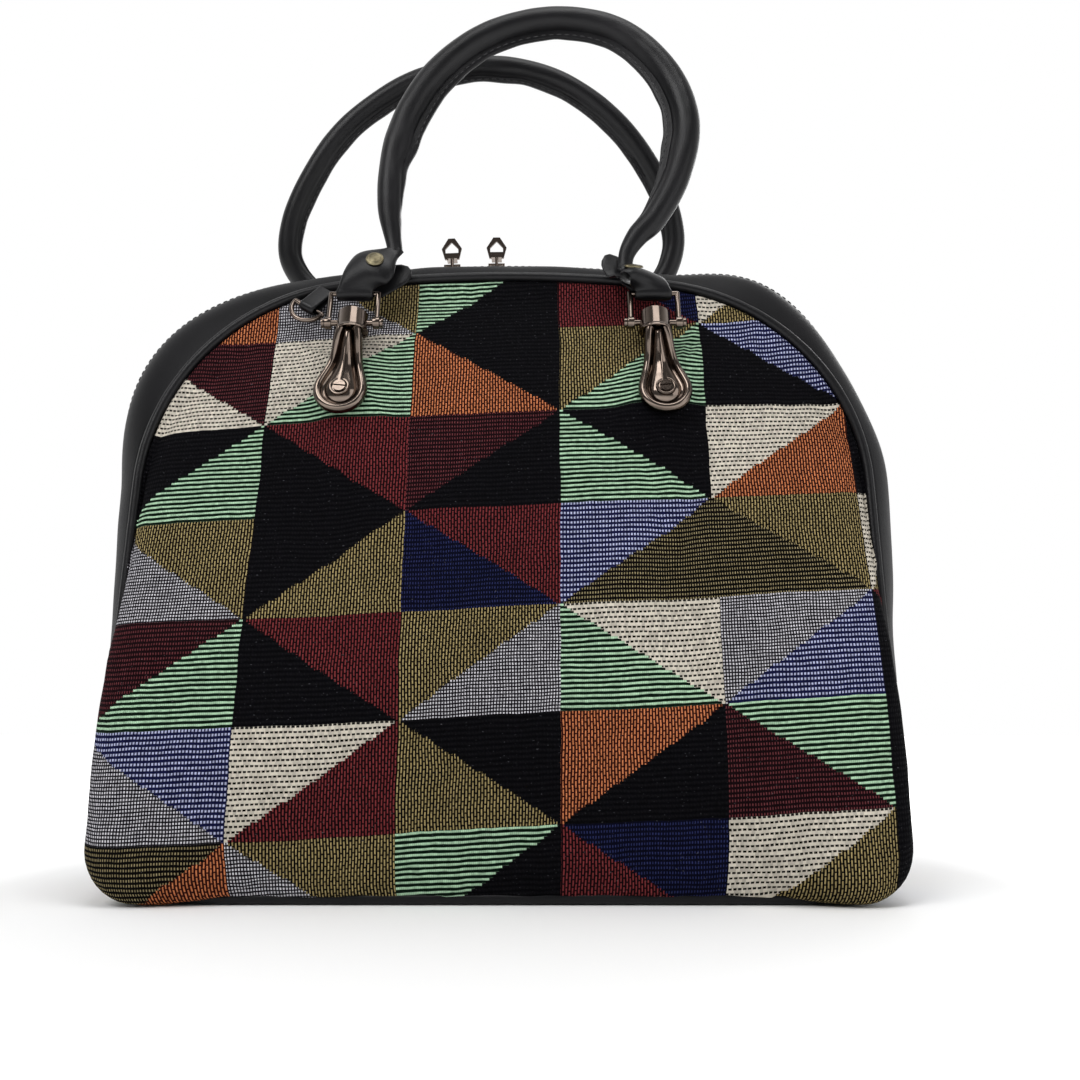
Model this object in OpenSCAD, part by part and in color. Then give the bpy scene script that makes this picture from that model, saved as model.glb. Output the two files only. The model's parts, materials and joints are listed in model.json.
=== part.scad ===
// Dome-top handbag: woven panels, piped seams, zip gusset, two rolled handles on metal drops.
// Millimetres. Origin on the floor under the middle of the base, +X right, +Z up, front towards -Y.

/* [Body] */
// Width across the side strip, seam to seam
body_w = 358; // [300:1:420]
// Height of the seam at the top of the dome
body_h = 306; // [260:1:360]
// Depth between the front and back seams at the floor
base_depth = 150; // [120:1:180]
// Depth between the front and back seams at the top
top_depth = 66; // [56:1:90]
// Radius of the bottom corners, seen from the front
bottom_corner_r = 30; // [20:1:45]
// Radius of the shoulders, seen from the front
shoulder_r = 110; // [80:1:130]
// Radius of the shallow arc along the top
top_arc_r = 700; // [500:10:1200]
// How far each padded panel swells out of its seam
panel_bulge = 20; // [10:0.5:30]
// Thickness of a padded fabric panel
panel_t = 2.4; // [1.6:0.1:4]
// Thickness of the leatherette and of the side fabric
strip_t = 1.8; // [1.2:0.1:2.4]
// Thickness of the stiff board that lies on the base
board_t = 2; // [1:0.1:3]
// Height at which the zip strip gives way to the fabric sides
zip_end_z = 96; // [70:1:150]
// Crown of the side strip where the fabric sides meet the zip strip
crown_side = 16; // [8:0.5:20]
// Crown of the zip strip along the top
crown_top = 11; // [6:0.5:16]
// Extra crown of the zip strip on the shoulders
crown_shoulder = 8; // [0:0.5:12]

/* [Piping] */
// Diameter of the piping cord
piping_d = 5.2; // [3:0.1:7]

/* [Zip] */
// Width of one zip tape
tape_w = 14; // [10:0.5:18]
// Width of the closed row of teeth
chain_w = 6; // [4:0.5:8]
// Height of the row of teeth above the tapes
chain_h = 2; // [1.2:0.1:3]
// Spacing of the teeth
tooth_pitch = 4; // [2.5:0.25:6]
// Length of a slider
slider_l = 13; // [10:0.5:16]
// Width of a slider
slider_w = 9.6; // [8:0.2:12]
// Place of the left slider along the top
left_slider_x = -30; // [-50:1:-24]
// Place of the right slider along the top
right_slider_x = -6; // [-8:1:30]
// Length of a pull tab
pull_l = 18; // [16:1:30]
// Width of a pull tab
pull_w = 11; // [8:0.5:13]

/* [Hardware] */
// Distance between the two drops on one panel
drop_spacing = 148; // [120:1:180]
// Distance of the middle of a drop below the top seam
drop_below = 56; // [50:1:80]
// Radius of the wide end of a drop
drop_r = 13; // [10:0.5:15]
// Length from the middle of a drop to the centre of its wide end
drop_reach = 17; // [14:0.5:22]
// Turn of a drop about the middle of its pin, its wide end outwards
drop_tilt = 6; // [0:1:8]
// Height of the pin above the middle of a drop
pin_rise = 19; // [17:0.5:24]
// Distance of the pin from the panel
pin_out = 6.4; // [6:0.1:9]
// Diameter of the pin
pin_d = 3; // [2:0.1:4]
// Width between the middles of the bail's legs
bail_w = 23.5; // [22:0.5:32]
// Length of the bail from pin to cross bar
bail_l = 18; // [15:0.5:24]
// Diameter of the bail's wire
bail_wire_d = 2.6; // [2.4:0.1:4]
// Diameter of the screw that holds a drop
screw_d = 3; // [2:0.1:4]

/* [Handles] */
// Diameter of a rolled handle
handle_d = 15; // [12:0.5:18]
// Diameter of a rolled handle just above its tabs
handle_end_d = 13; // [10:0.5:15]
// Depth of the stitched fin along the inside of a handle's bow
fin_depth = 4.5; // [2:0.5:6]
// Thickness of the doubled leatherette tab at a handle's end
tab_t = 5; // [4:0.2:6]
// Width of the tab where it loops round the bail
tab_w = 18; // [14:0.5:20]
// Backward lean of the front handle from upright
front_lean = 8; // [4:0.5:10]
// Forward lean of the back handle from upright
back_lean = 8; // [4:0.5:10]
// Diameter of the rivet on a tab
rivet_d = 9; // [6:0.5:11]

/* [Strap rings] */
// Distance of a strap ring's loop from the middle of the nearest drop
ring_offset = 24; // [22:0.5:30]
// Distance of a strap ring's bar below the seam
ring_below = 17; // [17:0.5:24]
// Inside width of a strap ring
ring_w = 15; // [12:0.5:20]
// Diameter of a strap ring's wire
ring_wire_d = 2.4; // [2:0.1:3]
// Turn of a strap ring away from straight down
ring_turn = 35; // [0:1:50]

/* [Hidden] */
$fn = 40;

// Colours of the real materials
woven = "#5a4a34";
leatherette = "#1d1c20";
tape_black = "#121214";
gunmetal = "#6d645c";
board_grey = "#8a8072";

// Clearances
seam_gap = 0.2;      // between sheets that meet at a seam
floor_gap = 0.3;     // piping above the base's underside
run_gap = 0.1;       // radial, hinge pin in its eye
seat_gap = 0.3;      // metal on soft cloth
pin_hole_gap = 0.05; // radial, pin or screw in the piece that holds it

half_w = body_w / 2;
piping_r = piping_d / 2;
pin_r = pin_d / 2;
bail_r = bail_wire_d / 2;
screw_r = screw_d / 2;
ring_r = ring_wire_d / 2;
handle_r = handle_d / 2;

// Centre of the shoulder arc, tangent to the side and to the top arc
shoulder_x = half_w - shoulder_r;
arc_centre_z = body_h - top_arc_r;
shoulder_z = arc_centre_z + sqrt(pow(top_arc_r - shoulder_r, 2) - pow(shoulder_x, 2));
top_half_angle = asin(shoulder_x / (top_arc_r - shoulder_r));

// Panels start inside the piping
panel_inset = piping_d + floor_gap + seam_gap;
panel_mid_z = body_h / 2;

// Points across each stretch of the outline
BOTTOM_STEPS = 4;
CORNER_STEPS = 5;
SIDE_STEPS = 5;
SHOULDER_STEPS = 10;
TOP_STEPS = 6;

// Half depth of the bag between its seams at height z
function half_depth(z) = (base_depth + (top_depth - base_depth) * z / body_h) / 2;

// Points [x, z, direction of the outward normal] on an arc, without its end
function arc(cx, cz, r, a0, a1, steps) =
    [for (i = [0:steps - 1]) let (a = a0 + (a1 - a0) * i / steps) [cx + r * cos(a), cz + r * sin(a), a]];

// Points on a straight stretch, without its end
function stretch(x0, z0, x1, z1, a, steps) =
    [for (i = [0:steps - 1]) [x0 + (x1 - x0) * i / steps, z0 + (z1 - z0) * i / steps, a]];

function mirrored(p) = [-p[0], p[1], 180 - p[2]];
function reversed(list) = [for (i = [len(list) - 1:-1:0]) list[i]];

// Right side from the shoulder up to the middle of the top, moved in by inset
function shoulder_and_top(inset) = concat(
    arc(shoulder_x, shoulder_z, shoulder_r - inset, 0, 90 - top_half_angle, SHOULDER_STEPS),
    arc(0, arc_centre_z, top_arc_r - inset, 90 - top_half_angle, 90, TOP_STEPS));

// The whole seam outline, counterclockwise from the middle of the bottom, moved in by inset
function outline(inset) =
    let (corner_x = half_w - bottom_corner_r,
         right = concat(
             stretch(0, inset, corner_x, inset, -90, BOTTOM_STEPS),
             arc(corner_x, bottom_corner_r, bottom_corner_r - inset, -90, 0, CORNER_STEPS),
             stretch(half_w - inset, bottom_corner_r, half_w - inset, shoulder_z, 0, SIDE_STEPS),
             shoulder_and_top(inset)),
         left = [for (i = [len(right) - 1:-1:1]) mirrored(right[i])])
    concat(right, [[0, body_h - inset, 90]], left);

// Path of the zip strip from its right end over the dome to its left end
function zip_path() =
    let (right = concat(
             stretch(half_w, zip_end_z + seam_gap, half_w, shoulder_z, 0, SIDE_STEPS),
             shoulder_and_top(0)))
    concat(right, [[0, body_h, 90]], [for (p = reversed(right)) mirrored(p)]);

// Path of the right fabric side from the base to the zip strip
function side_path() = concat(
    arc(half_w - bottom_corner_r, bottom_corner_r, bottom_corner_r, -90, 0, CORNER_STEPS),
    stretch(half_w, bottom_corner_r, half_w, zip_end_z - seam_gap, 0, SIDE_STEPS),
    [[half_w, zip_end_z - seam_gap, 0]]);

// Height at which the sides have swelled to their full crown
crown_rise_z = 60;

// How far the middle of the strip stands out of its seams at a path point
function crown(p) =
    let (a = p[2] > 90 ? 180 - p[2] : p[2], share = a / (90 - top_half_angle))
    a < 0 ? crown_side * (90 + a) / 90 * p[1] / crown_rise_z
    : a == 0 ? crown_side * min(1, p[1] / crown_rise_z)
    : share >= 1 ? crown_top
    : crown_side + (crown_top - crown_side) * share + crown_shoulder * pow(sin(180 * share), 2);

// Depth at which a strip's edge meets the piping
function strip_edge(z) = half_depth(z) - piping_r - seam_gap;

// A point on the strip: path point p, depth y, and depth below the outer face
function strip_point(p, y, below) =
    let (off = crown(p) * (1 - pow(abs(y) / strip_edge(p[1]), 4)) - below)
    [p[0] + off * cos(p[2]), y, p[1] + off * sin(p[2])];

// Distance from the panel's middle as a share of the way to its edge
function panel_share(x, z, edge) = max([for (i = [0:len(edge) - 1])
    let (p = edge[i], n = [cos(p[2]), sin(p[2])], c = [0, panel_mid_z])
    (n * ([x, z] - c)) / (n * ([p[0], p[1]] - c))]);

function panel_face_y(z, share) = -half_depth(z) - panel_bulge * (1 - pow(share, 3));

// Front panel's outer face at a place on it
function panel_y(x, z) = panel_face_y(z, panel_share(x, z, outline(panel_inset)));

// Lean of the front panel at a place on it, in degrees
function panel_lean(x, z) = let (d = 4) atan((panel_y(x, z + d) - panel_y(x, z - d)) / (2 * d));

// Two triangles for each cell between neighbouring rows of points
function cell_faces(rows, cols, first, wrap) = [
    for (i = [0:rows - 2], j = [0:(wrap ? cols - 1 : cols - 2)])
        let (a = first + i * cols + j, b = first + i * cols + (j + 1) % cols, c = a + cols, d = b + cols)
        each [[a, b, d], [a, d, c]]
];

function flipped(faces) = [for (f = faces) reversed(f)];
function joined(rows) = [for (r = rows) each r];

// A sheet between two grids of points with the same rows and columns
module sheet(outer, inner) {
    rows = len(outer);
    cols = len(outer[0]);
    n = rows * cols;
    rim = concat(
        [for (j = [0:cols - 1]) j],
        [for (i = [1:rows - 1]) i * cols + cols - 1],
        [for (j = [cols - 2:-1:0]) (rows - 1) * cols + j],
        [for (i = [rows - 2:-1:1]) i * cols]);
    walls = [for (i = [0:len(rim) - 1])
        let (a = rim[i], b = rim[(i + 1) % len(rim)])
        each [[a, a + n, b + n], [a, b + n, b]]];
    polyhedron(
        joined(concat(outer, inner)),
        concat(cell_faces(rows, cols, 0, false), flipped(cell_faces(rows, cols, n, false)), walls));
}

// A closed tube or disc: rings of points, each closed on itself, with a point at both ends
module ring_solid(rings, start, end) {
    rows = len(rings);
    cols = len(rings[0]);
    n = rows * cols;
    polyhedron(
        concat(joined(rings), [start, end]),
        concat(
            cell_faces(rows, cols, 0, true),
            [for (j = [0:cols - 1]) [n, (j + 1) % cols, j]],
            [for (j = [0:cols - 1]) [n + 1, (rows - 1) * cols + j, (rows - 1) * cols + (j + 1) % cols]]));
}

// Pieces made for the front and turned round for the back
module back() { rotate([0, 0, 180]) children(); }

// Shares of the way from a panel's middle to its edge at which its mesh has rings
PANEL_RINGS = [0.14, 0.34, 0.54, 0.7, 0.82, 0.9, 0.96, 1];

module panel_shell() {
    edge = outline(panel_inset);
    function ring(share, depth) = [for (p = edge)
        let (x = p[0] * share, z = panel_mid_z + (p[1] - panel_mid_z) * share)
        [x, panel_face_y(z, share) + depth, z]];
    faces = [for (s = PANEL_RINGS) ring(s, 0)];
    backs = [for (s = reversed(PANEL_RINGS)) ring(s, panel_t)];
    mid_y = panel_face_y(panel_mid_z, 0);
    ring_solid(concat(faces, backs), [0, mid_y, panel_mid_z], [0, mid_y + panel_t, panel_mid_z]);
}

// Panel with the holes that the screws of its drops pass through
module front_panel() {
    color(woven) difference() {
        panel_shell();
        at_each_drop() screw_place() outward(-drill_depth, 2 * drill_depth) circle(screw_r + pin_hole_gap);
    }
}

module right_side() {
    color(woven) strip(side_path(), function(z) -strip_edge(z), function(z) strip_edge(z), strip_t, 10);
}

module left_side() { back() right_side(); }

// Part of the strip round the bag between two depths, each a function of the height
module strip(path, from, to, thickness, columns) {
    function grid(below) = [for (p = path) [for (j = [0:columns])
        let (a = from(p[1]), b = to(p[1])) strip_point(p, a + (b - a) * j / columns, below)]];
    sheet(grid(thickness), grid(0));
}

// Flat base; it ends where the fabric sides begin to curve up
base_half_l = half_w - bottom_corner_r - seam_gap;
base_half_d = strip_edge(0);

module base_panel() {
    color(leatherette) translate([-base_half_l, -base_half_d, 0])
        cube([2 * base_half_l, 2 * base_half_d, strip_t]);
}

// Board that stiffens the base, held between the lower edges of the panels
board_half_d = base_half_d - panel_t;

module base_board() {
    color(board_grey) translate([-base_half_l, -board_half_d, strip_t])
        cube([2 * base_half_l, 2 * board_half_d, board_t]);
}

PIPING_SIDES = 8;

module front_piping() {
    path = outline(piping_r + floor_gap);
    rings = [for (p = path) [for (k = [0:PIPING_SIDES - 1])
        let (a = 360 * k / PIPING_SIDES, r = piping_r * cos(a))
        [p[0] + r * cos(p[2]), -half_depth(p[1]) + piping_r * sin(a), p[1] + r * sin(p[2])]]];
    n = len(rings);
    color(leatherette) polyhedron(joined(rings), [
        for (i = [0:n - 1], k = [0:PIPING_SIDES - 1])
            let (next = (i + 1) % n, k2 = (k + 1) % PIPING_SIDES,
                 a = i * PIPING_SIDES + k, b = i * PIPING_SIDES + k2,
                 c = next * PIPING_SIDES + k, d = next * PIPING_SIDES + k2)
            each [[a, d, b], [a, c, d]]
    ]);
}

module front_zip_facing() {
    color(leatherette)
        strip(zip_path(), function(z) -strip_edge(z), function(z) -tape_w - seam_gap, strip_t, 4);
}

module front_zip_tape() {
    color(tape_black)
        strip(zip_path(), function(z) -tape_w, function(z) -seam_gap / 2, strip_t, 3);
}

// Row of meshed teeth: blocks on a thin band, spaced along the zip
module zip_teeth() {
    path = zip_path();
    half = chain_w * 0.36;
    function band(below) = [for (p = path) [for (y = [-half, half]) strip_point(p, y, below)]];
    color(tape_black) {
        sheet(band(-seam_gap / 2), band(-chain_h / 2));
        for (p = spaced(path, tooth_pitch)) tooth(p);
    }
}

tooth_l = tooth_pitch * 0.55;

module tooth(p) {
    place = strip_point(p, 0, 0);
    translate(place) rotate([0, 90 - p[2], 0])
        translate([-tooth_l / 2, -chain_w / 2, chain_h / 4]) cube([tooth_l, chain_w, chain_h * 3 / 4]);
}

// Points about one pitch apart along a path of [x, z, angle], ends left free
function spaced(path, pitch) = [
    for (i = [0:len(path) - 2])
        let (a = path[i], b = path[i + 1],
             count = max(1, round(norm([b[0] - a[0], b[1] - a[1]]) / pitch)))
        for (k = [0:count - 1]) let (t = (k + 0.5) / count) a + (b - a) * t
];

// Sliders ride on the crest of the top arc
slider_ride_r = top_arc_r + crown_top + chain_h + seat_gap;
plate_t = 1.6;
bridge_h = 4;
bridge_w = 3;
bridge_l = 9;
bridge_bar_t = 1.2;
eye_r = 0.8;
eye_z = plate_t + (bridge_h - bridge_bar_t) / 2;

module on_top_arc(x) {
    translate([0, 0, arc_centre_z]) rotate([0, asin(x / slider_ride_r), 0])
        translate([0, 0, slider_ride_r]) children();
}

// Slider: plate with flanges beside the teeth, and a bridge for the pull tab
module slider() {
    flange_w = (slider_w - chain_w) / 2 - seat_gap;
    flange_h = chain_h;
    color(gunmetal) {
        translate([-slider_l / 2, -slider_w / 2, 0]) cube([slider_l, slider_w, plate_t]);
        for (side = [-1, 1])
            translate([-slider_l / 2, side * (slider_w - flange_w) / 2 - flange_w / 2, -flange_h])
                cube([slider_l, flange_w, flange_h]);
        difference() {
            translate([-bridge_l / 2, -bridge_w / 2, plate_t]) cube([bridge_l, bridge_w, bridge_h]);
            translate([-bridge_l / 2 + bridge_bar_t, -bridge_w, plate_t - 1])
                cube([bridge_l - 2 * bridge_bar_t, 2 * bridge_w, bridge_h - bridge_bar_t + 1]);
        }
    }
}

pull_t = 1.4;
pull_stem = 6;
pull_leg_y = bridge_w / 2 + seat_gap + eye_r;

// Pull tab: an eye bar under the slider's bridge, a forked stem, and a flat frame with a window
module pull() {
    window_w = pull_w - 4;
    color(gunmetal) translate([0, 0, eye_z]) {
        rotate([90, 0, 0]) cylinder(r = eye_r, h = 2 * pull_leg_y, center = true);
        for (side = [-1, 1]) translate([0, side * pull_leg_y, 0]) {
            sphere(eye_r);
            cylinder(r = eye_r, h = pull_stem);
        }
        translate([-pull_w / 4, -pull_leg_y - eye_r, pull_stem - eye_r])
            cube([pull_w / 2, 2 * (pull_leg_y + eye_r), 2 * eye_r]);
        translate([0, pull_t / 2, 0]) rotate([90, 0, 0]) linear_extrude(pull_t) difference() {
            polygon([[-pull_w * 0.36, pull_stem], [pull_w * 0.36, pull_stem],
                     [pull_w / 2, pull_l - 6], [pull_w * 0.16, pull_l], [-pull_w * 0.16, pull_l],
                     [-pull_w / 2, pull_l - 6]]);
            polygon([[-window_w / 2, pull_l - 8.5], [window_w / 2, pull_l - 8.5],
                     [window_w / 2, pull_l - 6], [0, pull_l - 2.2], [-window_w / 2, pull_l - 6]]);
        }
    }
}

module left_zip_slider() { on_top_arc(left_slider_x) slider(); }
module right_zip_slider() { on_top_arc(right_slider_x) slider(); }
module left_zip_pull() { on_top_arc(left_slider_x) pull(); }
module right_zip_pull() { on_top_arc(right_slider_x) pull(); }

// Places on the front panel: local -Y points out of it and local +Z up along it
module on_panel(x, z) {
    translate([x, panel_y(x, z), z]) rotate([-panel_lean(x, z), 0, 0]) children();
}

module at_drop(side) {
    $side = side;
    on_panel(side * drop_spacing / 2, drop_z) children();
}

module at_each_drop() { for (side = [-1, 1]) at_drop(side) children(); }

// Flat shape standing on the panel, from one distance out of it to another
module outward(from, thickness) {
    translate([0, -from, 0]) rotate([90, 0, 0]) linear_extrude(thickness) children();
}

// Points between two ends of a drop's flank, hollowed towards the middle
function flank(from, to) =
    [for (i = [1:7]) let (q = i / 8, p = from + (to - from) * q)
        [p[0] - sign(p[0]) * drop_hollow * (1 - cos(360 * q)) / 2, p[1]]];

// Drop shape: a wide arc below and a narrow arc above, joined by hollow flanks
function drop_shape(low_r, low_z, high_r, high_z) =
    let (lean = asin((low_r - high_r) / (high_z - low_z)), steps = 16,
        low = [for (i = [0:steps]) let (a = 180 - lean + (180 + 2 * lean) * i / steps)
            [low_r * cos(a), low_z + low_r * sin(a)]],
        high = [for (i = [0:steps]) let (a = lean + (180 - 2 * lean) * i / steps)
            [high_r * cos(a), high_z + high_r * sin(a)]])
    concat(low, flank(low[steps], high[0]), high, flank(high[steps], low[0]));

drop_z = body_h - drop_below;
drop_neck_r = 6.5;
drop_neck_z = 11;
drop_hollow = 1.3;
drop_plate_t = 2;
drop_rim_t = 4.2;
drop_rim_w = 3;
tongue_gap = 1.6;
tongue_t = 3.4;
boss_r = 4.4;
boss_t = 4.4;
collar_r = 7.8;
collar_h = 10;
drill_depth = 30;

module inset_drop(inset) {
    polygon(drop_shape(drop_r - inset, -drop_reach, drop_neck_r - inset, drop_neck_z));
}

// Metal drop: rimmed plate with a raised tongue, a boss for the screw and a collar for the pin
module drop() {
    color(gunmetal) difference() {
        union() {
            tilted() {
                outward(seat_gap, drop_plate_t) inset_drop(0);
                outward(seat_gap, drop_rim_t) difference() {
                    inset_drop(0);
                    inset_drop(drop_rim_w);
                }
                outward(seat_gap, tongue_t) inset_drop(drop_rim_w + tongue_gap);
            }
            screw_place() outward(seat_gap, boss_t) circle(boss_r);
            translate([0, -pin_out - seat_gap, pin_rise - collar_h / 2])
                cylinder(r = collar_r, h = collar_h);
        }
        screw_place() outward(-drill_depth, 2 * drill_depth) circle(screw_r + pin_hole_gap);
        pin_place() rotate([0, 90, 0]) cylinder(r = pin_r + pin_hole_gap, h = 4 * collar_r, center = true);
        collar_back_cut();
    }
}

// Keeps the collar off the cloth behind it
module collar_back_cut() {
    translate([-2 * collar_r, -seat_gap, 0]) cube([4 * collar_r, 2 * collar_r, 2 * pin_rise]);
}

module tilted() {
    translate([0, 0, pin_rise]) rotate([0, -$side * drop_tilt, 0]) translate([0, 0, -pin_rise]) children();
}

module screw_place() { tilted() translate([0, 0, -drop_reach]) children(); }
module pin_place() { translate([0, -pin_out - seat_gap, pin_rise]) children(); }

screw_head_r = 3;
screw_head_t = 1.1;
screw_back = 5.2;
washer_r = 5;
washer_t = 1;

// Screw from the drop's boss through the panel
module drop_screw() {
    screw_place() {
        outward(-screw_back, screw_back + seat_gap + boss_t) circle(screw_r);
        outward(seat_gap + boss_t, screw_head_t) difference() {
            circle(screw_head_r);
            square([2 * screw_head_r, 0.8], center = true);
        }
    }
}

// Washer behind the panel that the screw is clenched over
module screw_washer() {
    screw_place() outward(-screw_back + seat_gap, washer_t) difference() {
        circle(washer_r);
        circle(screw_r + pin_hole_gap);
    }
}

bail_eye_r = 3;
bail_eye_w = 3.2;
pin_head_r = 2.4;
pin_head_t = 1.4;
pin_half_l = bail_w / 2 + bail_eye_w / 2 + seat_gap;

module bail_pin() {
    pin_place() rotate([0, 90, 0]) {
        cylinder(r = pin_r, h = 2 * pin_half_l, center = true);
        for (end = [-1, 1]) translate([0, 0, end * (pin_half_l + pin_head_t / 2)])
            cylinder(r = pin_head_r, h = pin_head_t, center = true);
    }
}

// Bail: a wire stirrup that turns on the pin and carries a handle's tab on its cross bar
module bail() {
    color(gunmetal) pin_place() difference() {
        union() {
            for (side = [-1, 1]) translate([side * bail_w / 2, 0, 0]) {
                rotate([0, 90, 0]) cylinder(r = bail_eye_r, h = bail_eye_w, center = true);
                cylinder(r = bail_r, h = bail_l);
                translate([0, 0, bail_l]) sphere(bail_r);
            }
            translate([0, 0, bail_l]) rotate([0, 90, 0]) cylinder(r = bail_r, h = bail_w, center = true);
        }
        rotate([0, 90, 0]) cylinder(r = pin_r + run_gap, h = 2 * bail_w, center = true);
    }
}

// Middle of a bail's cross bar, from the floor's origin: [y, z] of the front bails
bar_place = let (x = drop_spacing / 2, a = -panel_lean(x, drop_z),
    y = -pin_out - seat_gap, z = pin_rise + bail_l)
    [panel_y(x, drop_z) + y * cos(a) - z * sin(a), drop_z + y * sin(a) + z * cos(a)];

// A handle stands in a plane through its two cross bars, leaning over the bag
module on_bars(lean) { translate([0, bar_place[0], bar_place[1]]) rotate([-lean, 0, 0]) children(); }

// Middle lines of the rolled handles, [x, height above the cross bars], as they stand
FRONT_ROUTE = [[-55, 28], [-59, 52], [-58, 80], [-50, 110], [-34, 137], [-8, 159], [27, 168],
               [60, 160], [84, 135], [94, 103], [89, 71], [76, 44], [58, 22]];
BACK_ROUTE = [[-62, 24], [-78, 36], [-92, 53], [-96, 76], [-86, 107], [-63, 140], [-29, 165], [10, 174],
              [52, 167], [83, 149], [103, 130], [118, 106], [128, 82], [129, 60], [117, 42],
              [96, 30], [78, 24]];

HANDLE_SIDES = 12;
ROUTE_STEPS = 4;

// A smooth curve through a route's points
function route_at(route, i, t) =
    let (n = len(route) - 1, p1 = route[i], p2 = route[i + 1],
         p0 = i > 0 ? route[i - 1] : 2 * p1 - p2, p3 = i + 2 <= n ? route[i + 2] : 2 * p2 - p1)
    0.5 * (2 * p1 + (p2 - p0) * t + (2 * p0 - 5 * p1 + 4 * p2 - p3) * t * t
        + (3 * p1 - p0 - 3 * p2 + p3) * t * t * t);

function smooth_route(route) = concat(
    [for (i = [0:len(route) - 2], k = [0:ROUTE_STEPS - 1]) route_at(route, i, k / ROUTE_STEPS)],
    [route[len(route) - 1]]);

// Share of full roundness along a handle: its ends are pressed flat into the tabs
function roundness(i, n) = let (ends = 5) min(1, 0.45 + 0.55 * min(i, n - i) / ends);

// Share of full thickness and of the stitched fin, which fade out a little way above the tabs
function fullness(i, n) = let (t = min(i, n - i) / n) min(1, max(0, (t - 0.06) / 0.14));

module rolled_tube(route) {
    line = smooth_route(route);
    n = len(line) - 1;
    rings = [for (i = [0:n])
        let (d = line[min(i + 1, n)] - line[max(i - 1, 0)], side = [d[1], -d[0]] / norm(d),
            f = roundness(i, n),
            r = handle_end_d / 2 + (handle_d - handle_end_d) / 2 * fullness(i, n))
        [for (k = [0:HANDLE_SIDES - 1]) let (a = 360 * k / HANDLE_SIDES,
            fin = k == 0 ? fin_depth * fullness(i, n) : 0,
            across = r * (1.15 - 0.15 * f) * cos(a) + fin, out = -r * f * sin(a))
            [line[i][0] + side[0] * across, out, line[i][1] + side[1] * across]]];
    ring_solid(rings, [line[0][0], 0, line[0][1]], [line[n][0], 0, line[n][1]]);
}

tab_eye_r = bail_r + run_gap + tab_t / 2;
tab_flare = 6;
tab_flare_rise = 14;
tab_rivet_share = 0.6;

// Outline of a tab: up from the cross bar at bar_x, flaring, then leaning in to the tube's end
function tab_shape(bar_x, end) =
    let (s = sign(bar_x), w = tab_w / 2, inner = -s)
    [[bar_x + s * w, 0], [bar_x + inner * w, 0],
     [bar_x + inner * (w + tab_flare), tab_flare_rise],
     [end[0] + inner * handle_r, end[1] + 4], [end[0] + s * handle_r * 0.8, end[1] + 6],
     [bar_x + s * (w + 1), tab_flare_rise / 2]];

// Rivet's place on the tab at one end of a route
function rivet_place(bar_x, end) = [bar_x, 0] + (end - [bar_x, 0]) * tab_rivet_share;

// Rolled handle with a flat tab at each end, folded round the cross bar
module handle(route) {
    ends = [route[0], route[len(route) - 1]];
    color(leatherette) difference() {
        union() {
            rolled_tube(route);
            for (end = ends) let (bar_x = sign(end[0]) * drop_spacing / 2) {
                translate([0, tab_t / 2, 0]) rotate([90, 0, 0]) linear_extrude(tab_t)
                    polygon(tab_shape(bar_x, end));
                translate([bar_x, 0, 0]) rotate([0, 90, 0])
                    cylinder(r = tab_eye_r, h = tab_w, center = true);
            }
        }
        for (side = [-1, 1]) translate([side * drop_spacing / 2, 0, 0]) rotate([0, 90, 0])
            cylinder(r = bail_r + run_gap, h = 2 * tab_w, center = true);
        at_rivets(route) cylinder(r = rivet_shank_r + pin_hole_gap, h = 4 * tab_t, center = true);
    }
}

rivet_shank_r = 1.6;
rivet_cap_t = 1.2;

module at_rivets(route) {
    for (end = [route[0], route[len(route) - 1]]) {
        place = rivet_place(sign(end[0]) * drop_spacing / 2, end);
        translate([place[0], 0, place[1]]) rotate([90, 0, 0]) children();
    }
}

// Tubular rivets, capped on both faces of a tab
module tab_rivets(route) {
    color(gunmetal) at_rivets(route) {
        cylinder(r = rivet_shank_r, h = tab_t, center = true);
        for (face = [-1, 1]) translate([0, 0, face * (tab_t + rivet_cap_t) / 2])
            cylinder(d = rivet_d, h = rivet_cap_t, center = true);
    }
}

// Strap ring on the left of the front panel, hung in a leatherette loop from the seam
ring_out = 3.8;
loop_w = 9;
loop_r = ring_r + run_gap + strip_t;
loop_l = ring_below - 3.4;
ring_x = -drop_spacing / 2 - ring_offset;
ring_z = shoulder_z + sqrt(pow(shoulder_r, 2) - pow(abs(ring_x) - shoulder_x, 2)) - ring_below;

module at_ring() {
    on_panel(ring_x, ring_z) translate([0, -ring_out, 0]) rotate([0, ring_turn, 0]) children();
}

module strap_ring() {
    bow_r = ring_w / 2 + ring_r;
    color(gunmetal) at_ring() {
        rotate([0, 90, 0]) cylinder(r = ring_r, h = 2 * bow_r, center = true);
        for (side = [-1, 1]) translate([side * bow_r, 0, 0]) sphere(ring_r);
        rotate([90, 0, 0]) rotate([0, 0, 180]) rotate_extrude(angle = 180)
            translate([bow_r, 0]) circle(ring_r);
    }
}

module ring_loop() {
    color(leatherette) at_ring() difference() {
        union() {
            rotate([0, 90, 0]) cylinder(r = loop_r, h = loop_w, center = true);
            translate([-loop_w / 2, -strip_t, 0]) cube([loop_w, 2 * strip_t, loop_l]);
        }
        rotate([0, 90, 0]) cylinder(r = ring_r + run_gap, h = 2 * loop_w, center = true);
    }
}

module on_both_faces() {
    children();
    back() children();
}

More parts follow.
